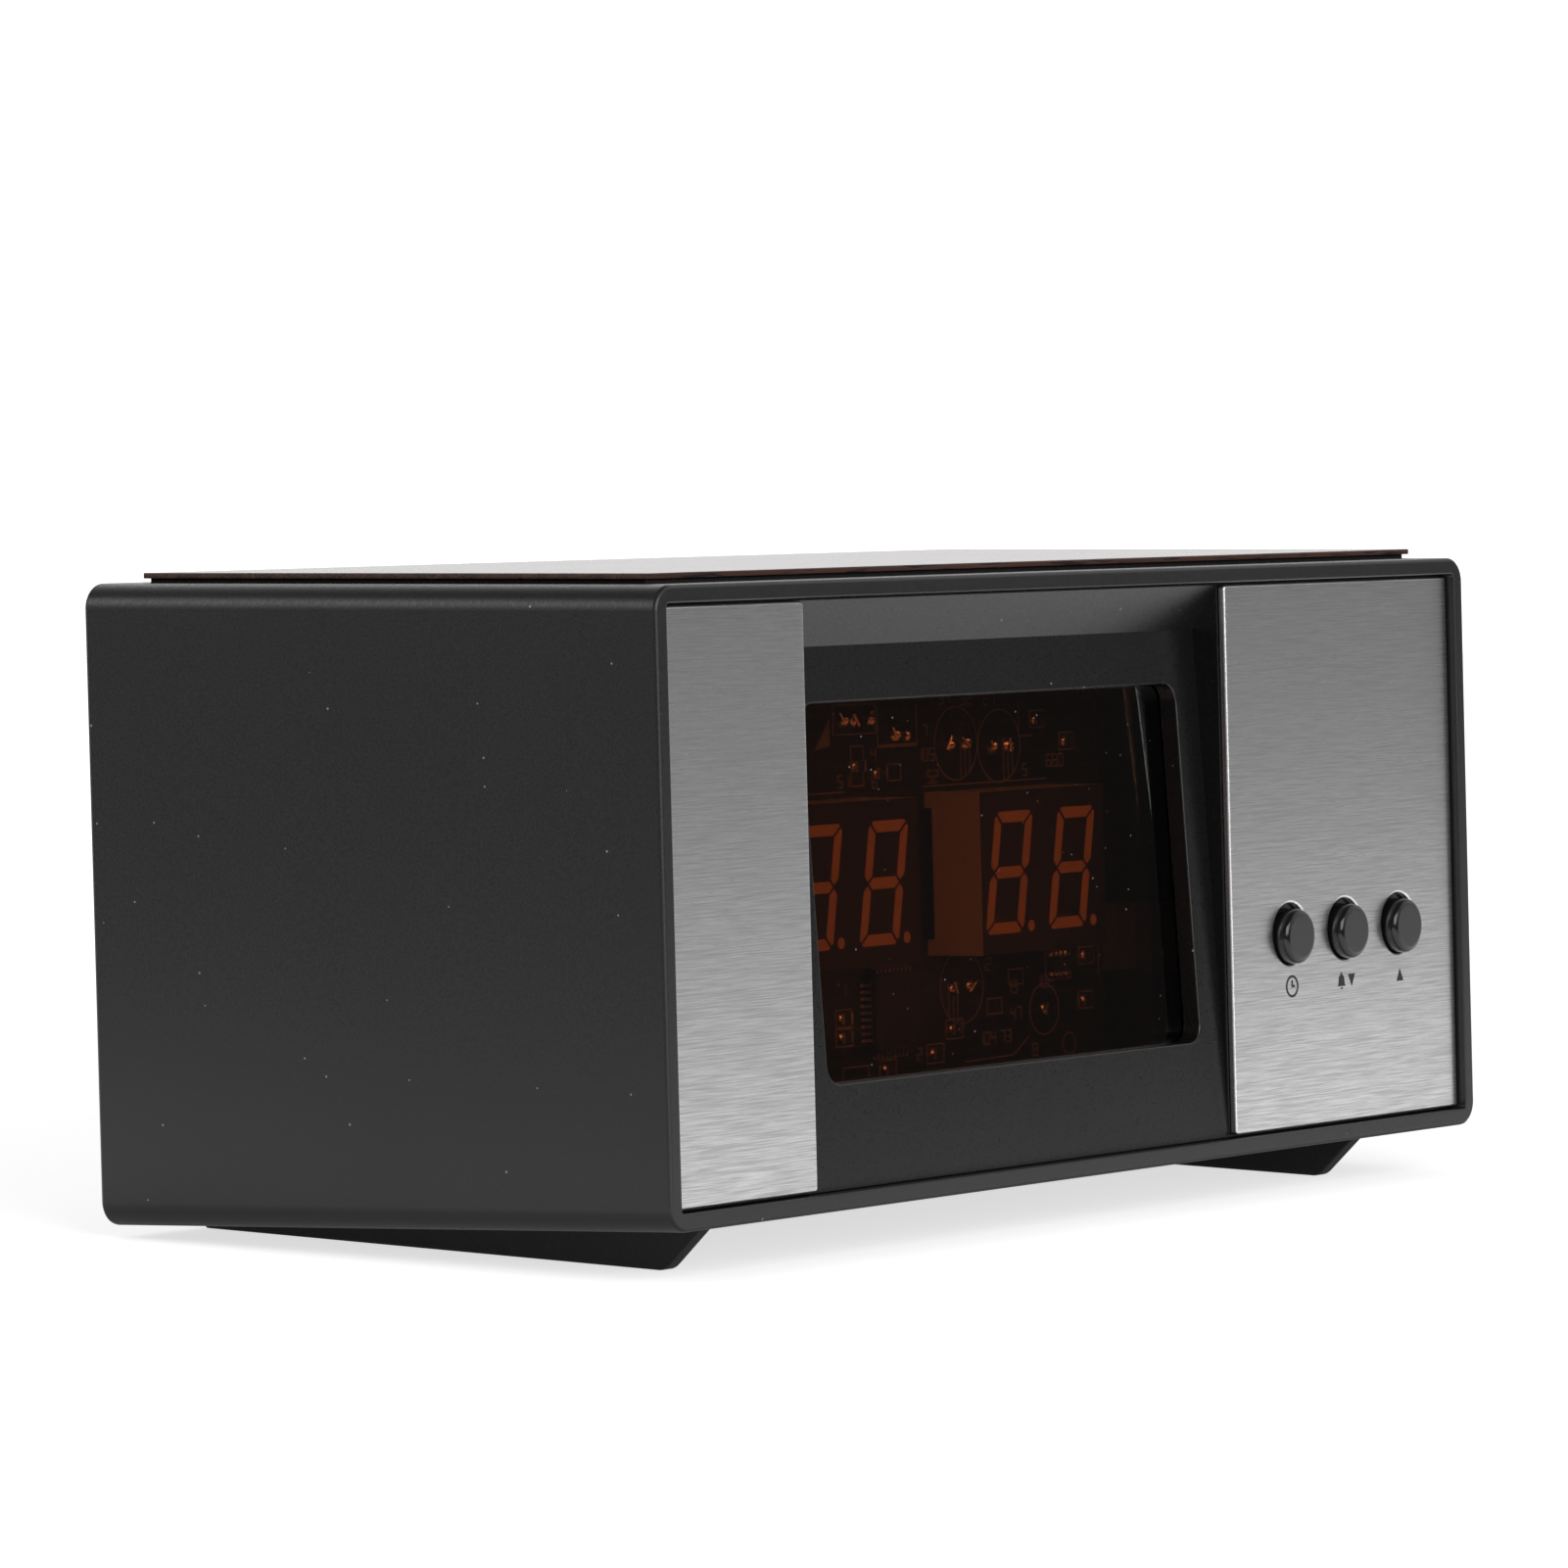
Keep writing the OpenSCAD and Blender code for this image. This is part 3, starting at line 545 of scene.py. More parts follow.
@dataclass(frozen=True)
class SolderResist(Finish):
    """Screened solder resist over etched copper: dark and glossy, with faint raised tracks.

    The tracks are laid out as courses of bricks, with sizes in shares of track_mm.
    """

    track_colour: str = "#162018"
    track_mm: float = 2.4
    track_width: float = 0.1
    track_softness: float = 0.2
    course: Point = (3.1, 0.8)
    relief_mm: float = 0.03
    relief_strength: float = 0.5

    def looks(self, tree: Tree) -> Inputs:
        """Builds the tracks under the resist.

        Args:
            tree: The material's node tree.

        Returns:
            The shader's inputs.
        """
        upright = (math.radians(90.0), 0.0, 0.0)
        front = add_node(
            tree, "ShaderNodeMapping", {"Vector": coordinates(tree), "Rotation": upright}
        ).outputs[0]
        tracks = add_node(
            tree,
            "ShaderNodeTexBrick",
            {"Vector": front, "Scale": per_mm(self.track_mm), "Mortar Size": self.track_width,
             "Mortar Smooth": self.track_softness, "Brick Width": self.course[0],
             "Row Height": self.course[1]},
        ).outputs["Fac"]
        return {
            "Base Color": blend(tree, tracks, self.colour, self.track_colour),
            "Normal": relief(tree, tracks, self.relief_mm, self.relief_strength),
        }


@dataclass(frozen=True)
class PrintedModule(Finish):
    """White moulded body with a black film printed on its face: pale sides round a face lost in shade."""

    shade: str = "#989488"
    face_colour: str = "#060606"
    face_from: float = 0.2
    mottle_mm: float = 1.5
    ior: float = 1.55

    def looks(self, tree: Tree) -> Inputs:
        """Builds the body colour and the printed face.

        Args:
            tree: The material's node tree.

        Returns:
            The shader's inputs.
        """
        printed = reckon(tree, "GREATER_THAN", facing_front(tree, Normal.FLAT), self.face_from)
        body = blend(tree, noise(tree, self.mottle_mm, GRAIN_DETAIL), self.colour, self.shade)
        return {"Base Color": blend(tree, printed, body, self.face_colour)}


@dataclass(frozen=True)
class MottledCoat(Finish):
    """A cast, dyed or printed coat: slightly uneven in tone, with a soft sheen."""

    second: str = "#000000"
    mottle_mm: float = 1.0

    def looks(self, tree: Tree) -> Inputs:
        """Builds the uneven tone."""
        mottle = noise(tree, self.mottle_mm, GRAIN_DETAIL)
        return {"Base Color": blend(tree, mottle, self.colour, self.second)}


@dataclass(frozen=True)
class PlatedMetal(Finish):
    """Plated or blackened metal: a slightly lumpy skin that scatters the glints."""

    second: str = "#808080"
    lump_mm: float = 0.4
    relief_mm: float = 0.03
    relief_strength: float = 0.4

    def looks(self, tree: Tree) -> Inputs:
        """Builds the lumpy skin.

        Args:
            tree: The material's node tree.

        Returns:
            The shader's inputs.
        """
        lumps = noise(tree, self.lump_mm, GRAIN_DETAIL)
        return {
            "Base Color": blend(tree, lumps, self.colour, self.second),
            "Metallic": 1.0,
            "Normal": relief(tree, lumps, self.relief_mm, self.relief_strength),
        }


# Charcoal ABS from an eroded tool: nearly black, with a soft broad sheen
CASE_ABS = MouldedPlastic(
    "grained_charcoal_abs", "case_abs", "#1b1b1c", 0.38, shade="#202021", relief_mm=0.02, dust_mm=4.0
)
# Black ABS from a finer tool: darker and glossier than the case, with soft reflections of the room
BEZEL_ABS = MouldedPlastic(
    "satin_black_abs", "bezel_abs", "#0d0d0e", 0.31, shade="#111112",
    grain_mm=0.25, relief_mm=0.006, dust_mm=4.0,
)
# Black ABS of the feet: matt, always in shade
FOOT_ABS = MouldedPlastic("matt_black_abs", "foot_abs", "#141414", 0.55, shade="#181818")
# Dark grey ABS: a matt face, sides darkened by painted shade, and one sharp highlight round the edge
BUTTON_ABS = SparkedButton("sparked_grey_abs", "button_abs", "#373739", 0.36)
# Brushed sheet: pale hairlines, and a brightness that runs from the floor up into the room
ALUMINIUM = BrushedAluminium("brushed_aluminium_sheet", "brushed_aluminium", "#cbcbcc", 0.3)
# Walnut under lacquer: dark brown from above, pale where it is seen at a low angle
WALNUT = LacqueredWalnut("lacquered_walnut_veneer", "walnut_veneer", "#351d18", 0.45)
# Foam tape: a dull black line under the panel
FOAM = FoamTape("die_cut_foam_tape", "backing_foam", "#141414", 0.9)
# Amber acrylic: white light goes in and comes back orange
ACRYLIC = PolishedAcrylic("polished_amber_acrylic", "amber_acrylic", "#ba8462", 0.02)
# Solder resist: nearly black behind the lens
RESIST = SolderResist("dark_solder_resist", "board_laminate", "#0a0e0b", 0.35)
# Module bodies: the pale sides show as brown through the lens
MODULE = PrintedModule("printed_module_body", "module_black", "#9c9990", 0.45)
# Epoxy cast into the light wells, dyed and milky: flat in tone, lit from the front only
SEGMENT = MottledCoat("cast_orange_epoxy", "segment_epoxy", "#a08352", 0.5, second="#94784a", ior=1.55)
# Tin plating on leads and cans: pale, with soft glints
TIN = PlatedMetal("tin_plated_metal", "tinned_metal", "#e4e2dc", 0.32, second="#c9c7c0")
# Solder that set from the melt: smooth, with small sharp glints
SOLDER = PlatedMetal("set_solder", "tinned_metal", "#e6e4de", 0.16, second="#d2d0c8", relief_mm=0.01)
# Blackened steel of the screws: dark, with a dull glint
STEEL = PlatedMetal("blackened_steel", "screw_steel", "#4c4c4e", 0.38, second="#37373a", relief_mm=0.01)
# Transfer-moulded epoxy of chips, switches and housings: dull black
CHIP = MouldedPlastic("moulded_black_epoxy", "chip_epoxy", "#0c0c0d", 0.6, shade="#111112", ior=1.55)
# Shrunk sleeve of the capacitors: dark blue, glossy
SLEEVE = MottledCoat(
    "shrunk_blue_sleeve", "capacitor_sleeve", "#1c2547", 0.3, second="#18203c", mottle_mm=4.0
)
# Natural nylon: off-white, slightly waxy
NYLON = MouldedPlastic("natural_nylon", "header_nylon", "#d8d1c0", 0.5, shade="#cfc7b4", relief_mm=0.004)
# Extruded black PVC: soft sheen
PVC = MouldedPlastic("extruded_black_pvc", "cable_pvc", "#151516", 0.55, shade="#1a1a1b", relief_mm=0.004)
# Screen ink: thin, matt, slightly uneven
BLACK_INK = MottledCoat("screened_black_ink", "brushed_aluminium", "#161616", 0.6, second="#222222")
BOARD_INK = MottledCoat("screened_grey_ink", "board_laminate", "#77746a", 0.7, second="#66635b")


def extent(points: list[Vector]) -> tuple[Vector, Vector]:
    """Finds the lowest and highest corners of the box round some points."""
    low, high = (Vector(pick(p[i] for p in points) for i in range(3)) for pick in (min, max))
    return low, high


def cad_mesh(node: str) -> Mesh:
    """Copies a CAD node's mesh, with its faces joined at their corners.

    Args:
        node: The node's name.

    Returns:
        The copy.
    """
    mesh = bmesh.new()
    mesh.from_mesh(frame["nodes"][node].data)
    bmesh.ops.remove_doubles(mesh, verts=mesh.verts, dist=WELD)
    return mesh


def add_object(name: str, data: bpy.types.ID) -> Piece:
    """Adds an object to the scene.

    Args:
        name: Its name.
        data: Its mesh, lamp or camera.

    Returns:
        The new object.
    """
    added = bpy.data.objects.new(name, data)
    bpy.context.scene.collection.objects.link(added)
    return added


@dataclass
class LeaningCase:
    """The case's own axes: X to the right, Y back along the buttons' travel, Z up the front."""

    turn: Matrix = field(init=False)

    def __post_init__(self) -> None:
        """Takes the lean from the buttons' travel."""
        self.turn = Matrix.Rotation(math.atan2(INTO_FRONT.z, INTO_FRONT.y), 4, "X")

    def box(self, node: str) -> tuple[Vector, Vector]:
        """Measures a CAD node along the case's axes.

        Args:
            node: The node's name.

        Returns:
            The lowest and highest corners, in metres.
        """
        back = self.turn.inverted()
        return extent([back @ v.co for v in frame["nodes"][node].data.vertices])


def add_piece(name: str, mesh: Mesh, finish: Finish) -> Piece:
    """Turns a built mesh into a dressed piece that rides on the clock.

    Args:
        name: The piece's name.
        mesh: The built mesh, which is used up.
        finish: The piece's finish.

    Returns:
        The new object.
    """
    for face in mesh.faces:
        face.smooth = True
    for edge in mesh.edges:
        edge.smooth = edge.calc_face_angle(0.0) < CREASE_ANGLE
    data = bpy.data.meshes.new(name)
    mesh.to_mesh(data)
    mesh.free()
    if data.has_custom_normals:
        data.attributes.remove(data.attributes["custom_normal"])
    data.materials.append(finish.material())
    piece = add_object(name, data)
    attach(piece, CLOCK_BODY)
    return piece


def soften(
    node: str,
    name: str,
    finish: Finish,
    round_mm: float,
    zone: Callable[[Vector], bool] = lambda place: True,
    steps: int = 3,
) -> Piece:
    """Stands a copy with rounded outer edges in for a CAD node.

    Args:
        node: The node that the piece replaces.
        name: The piece's name.
        finish: The piece's finish.
        round_mm: Width of the rounding on sharp outer edges.
        zone: Tells whether a place is where edges are rounded.
        steps: Number of faces round an edge.

    Returns:
        The new object.
    """
    mesh = cad_mesh(node)
    bmesh.ops.dissolve_limit(mesh, angle_limit=FLAT_ANGLE, verts=mesh.verts, edges=mesh.edges)
    sharp = [e for e in mesh.edges if e.is_convex and e.calc_face_angle(0.0) > SHARP_ANGLE]
    bmesh.ops.bevel(
        mesh,
        geom=[e for e in sharp if all(zone(v.co) for v in e.verts)],
        offset=round_mm * MM,
        offset_type="OFFSET",
        segments=steps,
        profile=ROUND_PROFILE,
        affect="EDGES",
        clamp_overlap=False,
    )
    piece = add_piece(name, mesh, finish)
    even = piece.modifiers.new("even_normals", "WEIGHTED_NORMAL")
    even.keep_sharp = True
    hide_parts(node)
    return piece


def solids(node: str) -> list[Vector]:
    """Finds the middle of each separate solid of a CAD node.

    Args:
        node: The node's name.

    Returns:
        The middles of the solids' boxes, in metres, from left to right.
    """
    mesh = cad_mesh(node)
    left = set(mesh.verts)
    middles = []
    while left:
        group, reached = set(), [left.pop()]
        while reached:
            vert = reached.pop()
            group.add(vert)
            near = {e.other_vert(vert) for e in vert.link_edges} & left
            left -= near
            reached.extend(near)
        low, high = extent([v.co for v in group])
        middles.append((low + high) / 2)
    mesh.free()
    return sorted(middles, key=lambda m: (round(m.x, 4), round(m.z, 4)))


def dress(nodes: tuple[str, ...], finish: Finish) -> list[Piece]:
    """Gives CAD nodes a finish.

    Args:
        nodes: The nodes' names.
        finish: Their finish.

    Returns:
        The nodes' objects.
    """
    dressed = [frame["nodes"][node] for node in nodes]
    for piece in dressed:
        piece.material_slots[0].material = finish.material()
    return dressed


def arc(centre: Point, radius: float, start: float, end: float, steps: int) -> list[Point]:
    """Gives points along an arc.

    Args:
        centre: The middle of the arc.
        radius: Its radius.
        start: Angle of its first point, in degrees.
        end: Angle of its last point.
        steps: Number of steps along it.

    Returns:
        The points, in the units of the radius.
    """
    turns = [math.radians(start + (end - start) * i / steps) for i in range(steps + 1)]
    return [(centre[0] + radius * math.cos(t), centre[1] + radius * math.sin(t)) for t in turns]


def turned(degrees: float, axis: str) -> Matrix:
    """Gives a turn about an axis."""
    return Matrix.Rotation(math.radians(degrees), 4, axis)


def looking(place: Vector, aim: Vector) -> Matrix:
    """Gives the place and turn of something whose local -Z looks from place to aim."""
    return Matrix.Translation(place) @ (aim - place).to_track_quat("-Z", "Y").to_matrix().to_4x4()


@dataclass
class Print:
    """Thin flat marks on a face of the case, in mm from a point of that face, X right and Z up."""

    case: LeaningCase
    origin: Vector
    ink_mm: float = 0.03
    mesh: Mesh = field(default_factory=bmesh.new)

    def sheet(self, rows: list[list[Point]]) -> None:
        """Adds a closed thin plate from outlines that are faces of its front.

        Args:
            rows: One outline for each face of the front, sharing their points' places.
        """
        part = bmesh.new()
        for outline in rows:
            part.faces.new([part.verts.new((x * MM, 0.0, z * MM)) for x, z in outline])
        bmesh.ops.remove_doubles(part, verts=part.verts, dist=WELD)
        front = part.faces[:]
        grown = bmesh.ops.extrude_face_region(part, geom=front)
        moved = [g for g in grown["geom"] if isinstance(g, bmesh.types.BMVert)]
        bmesh.ops.translate(part, verts=moved, vec=(0.0, -self.ink_mm * MM, 0.0))
        bmesh.ops.recalc_face_normals(part, faces=part.faces)
        spot = self.case.turn @ Matrix.Translation(self.origin)
        bmesh.ops.transform(part, matrix=spot, verts=part.verts)
        data = bpy.data.meshes.new("print_part")
        part.to_mesh(data)
        part.free()
        self.mesh.from_mesh(data)
        bpy.data.meshes.remove(data)

    def patch(self, outline: list[Point]) -> None:
        """Adds a filled outline."""
        self.sheet([outline])

    def stroke(self, points: list[Point], width: float, closed: bool = False) -> None:
        """Adds a line of even width along points.

        Args:
            points: The middle of the line.
            width: Its width.
            closed: True if the last point joins the first.
        """
        path = [Vector(p) for p in points]
        count = len(path)
        sides: tuple[list[Point], list[Point]] = ([], [])
        for i, here in enumerate(path):
            before = path[i - 1] if i or closed else here
            after = path[(i + 1) % count] if i + 1 < count or closed else here
            along = [(b - a).normalized() for a, b in ((before, here), (here, after)) if a != b]
            normals = [Vector((-d.y, d.x)) for d in along]
            mean = (normals[0] + normals[-1]).normalized()
            reach = width / 2 / max(mean.dot(normals[0]), LEAST_MITRE)
            sides[0].append(tuple(here + mean * reach))
            sides[1].append(tuple(here - mean * reach))
        last = count if closed else count - 1
        faces = [(i, (i + 1) % count) for i in range(last)]
        self.sheet([[sides[0][a], sides[0][b], sides[1][b], sides[1][a]] for a, b in faces])

    def number(self, text: str, at: Point, height: float, width: float) -> None:
        """Adds a plain number.

        Args:
            text: Its numerals.
            at: Its lower left corner.
            height: Height of a numeral.
            width: Width of its lines.
        """
        for place, numeral in enumerate(text):
            left = at[0] + place * height * NUMERAL_STEP
            for path in NUMERALS[numeral]:
                points = [(left + CORNERS[c][0] * height, at[1] + CORNERS[c][1] * height) for c in path]
                if path[0] == path[-1]:
                    self.stroke(points[:-1], width, closed=True)
                else:
                    self.stroke(points, width)

    def frame(self, at: Point, size: Point, width: float) -> None:
        """Adds an upright rectangle, drawn as a line.

        Args:
            at: Its middle.
            size: Its width and height.
            width: Width of the line.
        """
        half = (size[0] / 2, size[1] / 2)
        corners = ((-1, -1), (1, -1), (1, 1), (-1, 1))
        self.stroke([(at[0] + x * half[0], at[1] + z * half[1]) for x, z in corners], width, closed=True)

    def ring(self, at: Point, diameter: float, width: float, points: int) -> None:
        """Adds a circle, drawn as a closed line through some points."""
        circle = arc(at, diameter / 2, 0.0, 360.0, points)
        self.stroke(circle[:-1], width, closed=True)

    def finish(self, name: str, ink: Finish) -> Piece:
        """Makes the piece from all marks added so far."""
        return add_piece(name, self.mesh, ink)


@dataclass
class Housing:
    """Sleeve, feet and the wood panel on top, each with the rounding of its edges."""

    rim_mm: float = 0.2
    blade_mm: float = 0.25
    veneer_mm: float = 0.12
    foam_mm: float = 0.05

    def build(self) -> list[Piece]:
        """Builds and dresses the housing.

        Returns:
            Its pieces.
        """
        return [
            soften("case_shell", "case_sleeve", CASE_ABS, self.rim_mm),
            soften("left_foot", "left_blade", FOOT_ABS, self.blade_mm),
            soften("right_foot", "right_blade", FOOT_ABS, self.blade_mm),
            soften("wood_top_panel", "top_veneer", WALNUT, self.veneer_mm),
            soften("panel_backing", "veneer_backing", FOAM, self.foam_mm),
        ]


@dataclass
class Facia:
    """Bezel, lens, trim plates, buttons and the marks under the buttons."""

    case: LeaningCase
    bezel_mm: float = 0.25
    recess_mm: float = 6.2
    pane_mm: float = 0.1
    plate_mm: float = 0.35
    legend_drop_mm: float = 6.0
    mark_mm: float = 1.5
    line_mm: float = 0.28
    ring_points: int = 24

    def build(self) -> list[Piece]:
        """Builds and dresses the front.

        Returns:
            Its pieces.
        """
        pieces = [
            soften("front_bezel", "bezel_moulding", BEZEL_ABS, self.bezel_mm, self.recess()),
            soften("display_lens", "lens_pane", ACRYLIC, self.pane_mm),
            soften("left_trim_plate", "left_plate", ALUMINIUM, self.plate_mm, steps=4),
            soften("right_trim_plate", "right_plate", ALUMINIUM, self.plate_mm, steps=4),
        ]
        pieces += dress(("set_button_cap", "down_button_cap", "up_button_cap"), BUTTON_ABS)
        pieces += [self.clock_mark(), self.bell_mark(), self.up_mark()]
        return pieces

    def recess(self) -> Callable[[Vector], bool]:
        """Gives the test for the part of the bezel that shows between the plates.

        Returns:
            The test, which takes a place in metres.
        """
        back = self.case.turn.inverted()
        left = self.case.box("left_trim_plate")[1].x
        right = self.case.box("right_trim_plate")[0].x
        depth = self.case.box("front_bezel")[0].y + self.recess_mm * MM
        over = MM / 2

        def shows(place: Vector) -> bool:
            """Tells whether a place is in the recess."""
            at = back @ place
            return left - over < at.x < right + over and at.y < depth

        return shows

    def under(self, node: str) -> Print:
        """Starts a print on the right plate below a button.

        Args:
            node: The button's node.

        Returns:
            The empty print, with its origin at the middle of the mark.
        """
        low, high = self.case.box(node)
        face = self.case.box("right_trim_plate")[0].y
        middle = (low + high) / 2
        return Print(self.case, Vector((middle.x, face, middle.z - self.legend_drop_mm * MM)))

    def triangle(self, x: float, pointing: Pointing) -> list[Point]:
        """Gives a small triangle at x."""
        half, tip = self.mark_mm / 2, self.mark_mm / 2 * pointing.value
        return [(x - half, -tip), (x + half, -tip), (x, tip)]

    def clock_mark(self) -> Piece:
        """Builds a clock face with two hands, for setting the time.

        Returns:
            The new object.
        """
        mark = self.under("set_button_cap")
        radius = self.mark_mm * 0.8
        mark.ring((0.0, 0.0), 2 * radius, self.line_mm, self.ring_points)
        mark.stroke([(0.0, radius * 0.6), (0.0, 0.0), (radius * 0.45, 0.0)], self.line_mm)
        return mark.finish("set_legend", BLACK_INK)

    def bell_mark(self) -> Piece:
        """Builds a bell for the alarm, drawn in shares of a mark's size, beside a triangle.

        Returns:
            The new object.
        """
        mark = self.under("down_button_cap")
        size = self.mark_mm
        at = -size * 0.75
        dome = arc((at, size * 0.12), size * 0.4, 180.0, 0.0, 12)
        skirt = [(at + size * 0.45, -size * 0.28), (at + size * 0.62, -size * 0.42)]
        mark.patch(dome + skirt + [(2 * at - x, z) for x, z in reversed(skirt)])
        mark.patch(arc((at, -size * 0.52), size * 0.16, 180.0, 360.0, 8))
        mark.stroke([(at, size * 0.5), (at, size * 0.68)], self.line_mm)
        mark.patch(self.triangle(size * 0.75, Pointing.DOWN))
        return mark.finish("down_legend", BLACK_INK)

    def up_mark(self) -> Piece:
        """Builds a triangle that points up.

        Returns:
            The new object.
        """
        mark = self.under("up_button_cap")
        mark.patch(self.triangle(0.0, Pointing.UP))
        return mark.finish("up_legend", BLACK_INK)


@dataclass
class Silkscreen:
    """Outlines and part numbers printed on the board, in mm from the board's middle.

    The hatching of a capacitor's circle ends at hatch_top, a share of the circle's height there.
    """

    case: LeaningCase
    line_mm: float = 0.16
    text_mm: float = 1.4
    capacitors: tuple[tuple[float, float, Half], ...] = (
        (12.8, 15.0, Half.RIGHT), (21.5, 14.4, Half.RIGHT), (12.8, -13.6, Half.LEFT),
    )
    capacitor_mm: float = 8.6
    hatch_mm: float = 0.9
    hatch_top: float = 0.2
    ring_points: int = 48
    frames: tuple[tuple[float, float, float, float], ...] = (
        (-7.2, 18.5, 8.2, 3.4), (0.4, 12.1, 2.6, 1.9), (-6.8, 13.1, 2.4, 4.6), (32.5, -12.0, 5.2, 3.6),
        (-10.6, -15.8, 3.2, 2.0), (-10.6, -18.0, 3.2, 2.0), (-2.2, -22.2, 3.4, 2.2), (7.2, -21.0, 3.4, 2.2),
        (11.1, -18.4, 3.4, 2.2), (38.4, -11.3, 3.0, 2.0), (38.2, -16.6, 3.0, 2.0), (29.4, 17.3, 3.0, 2.0),
        (35.4, 14.5, 3.0, 2.0), (-8.5, -22.6, 5.0, 2.2), (19.3, -16.2, 3.0, 1.8), (23.8, -13.0, 3.0, 1.8),
    )
    rings: tuple[Triple, ...] = ((29.5, -17.2, 6.0), (34.5, -21.6, 2.6))
    lines: tuple[tuple[Point, ...], ...] = (
        ((-2.7, 19.9), (-2.7, 15.2)), ((5.0, 19.9), (5.0, 15.2)), ((6.0, 10.2), (31.0, 10.2)),
        ((-20.0, 10.2), (-9.5, 10.2)), ((13.0, -22.4), (23.0, -22.2), (26.2, -20.2)),
        ((25.6, 19.6), (25.6, 15.4), (28.4, 15.4)), ((36.6, -8.8), (41.0, -8.8), (41.0, -13.8)),
        ((16.0, -9.9), (24.6, -9.9)),
    )
    bar: tuple[Point, ...] = ((-2.7, 15.2), (5.0, 15.2))
    bar_mm: float = 0.4
    wedge: tuple[Point, ...] = ((-14.9, 15.2), (-12.0, 15.6), (-12.0, 18.8))
    numbers: tuple[tuple[str, float, float], ...] = (
        ("51", -10.6, 10.7), ("6", -3.9, 10.4), ("4", -4.0, 13.6), ("52", 7.0, 10.6), ("7", 6.2, 16.0),
        ("105", 5.0, 13.2), ("31", 9.6, 19.7), ("32", 14.0, 19.5), ("27", 18.6, 19.3), ("680", 31.2, 11.6),
        ("5", 26.2, 10.7), ("13", 21.9, -14.9), ("104", 16.0, -20.6), ("73", 20.4, -20.6),
        ("47", 22.6, -18.0), ("2", 3.6, -21.6), ("1", -11.0, -13.3), ("8", 27.0, -22.6),
        ("102", 28.0, -14.6), ("12", 16.6, -11.9),
    )

    def build(self) -> list[Piece]:
        """Prints the marks on the board's front.

        Returns:
            The one printed piece.
        """
        low, high = self.case.box("main_board")
        sheet = Print(self.case, Vector(((low.x + high.x) / 2, low.y, (low.z + high.z) / 2)))
        for x, z, side in self.capacitors:
            self.capacitor(sheet, x, z, side)
        for x, z, width, height in self.frames:
            sheet.frame((x, z), (width, height), self.line_mm)
        for x, z, diameter in self.rings:
            sheet.ring((x, z), diameter, self.line_mm, self.ring_points)
        for line in self.lines:
            sheet.stroke(list(line), self.line_mm)
        sheet.stroke(list(self.bar), self.bar_mm)
        for text, x, z in self.numbers:
            sheet.number(text, (x, z), self.text_mm, self.line_mm)
        sheet.patch(list(self.wedge))
        return [sheet.finish("board_silkscreen", BOARD_INK)]

    def capacitor(self, sheet: Print, x: float, z: float, half: Half) -> None:
        """Prints a capacitor's circle with one half hatched.

        Args:
            sheet: The print to add to.
            x: The circle's middle.
            z: The circle's middle.
            half: The half that is hatched.
        """
        sheet.ring((x, z), self.capacitor_mm, self.line_mm, self.ring_points)
        radius = self.capacitor_mm / 2
        for step in range(1, int(radius / self.hatch_mm)):
            off = step * self.hatch_mm
            reach = math.sqrt(radius**2 - off**2)
            line_x = x + half.value * off
            sheet.stroke([(line_x, z - reach), (line_x, z + reach * self.hatch_top)], self.line_mm)


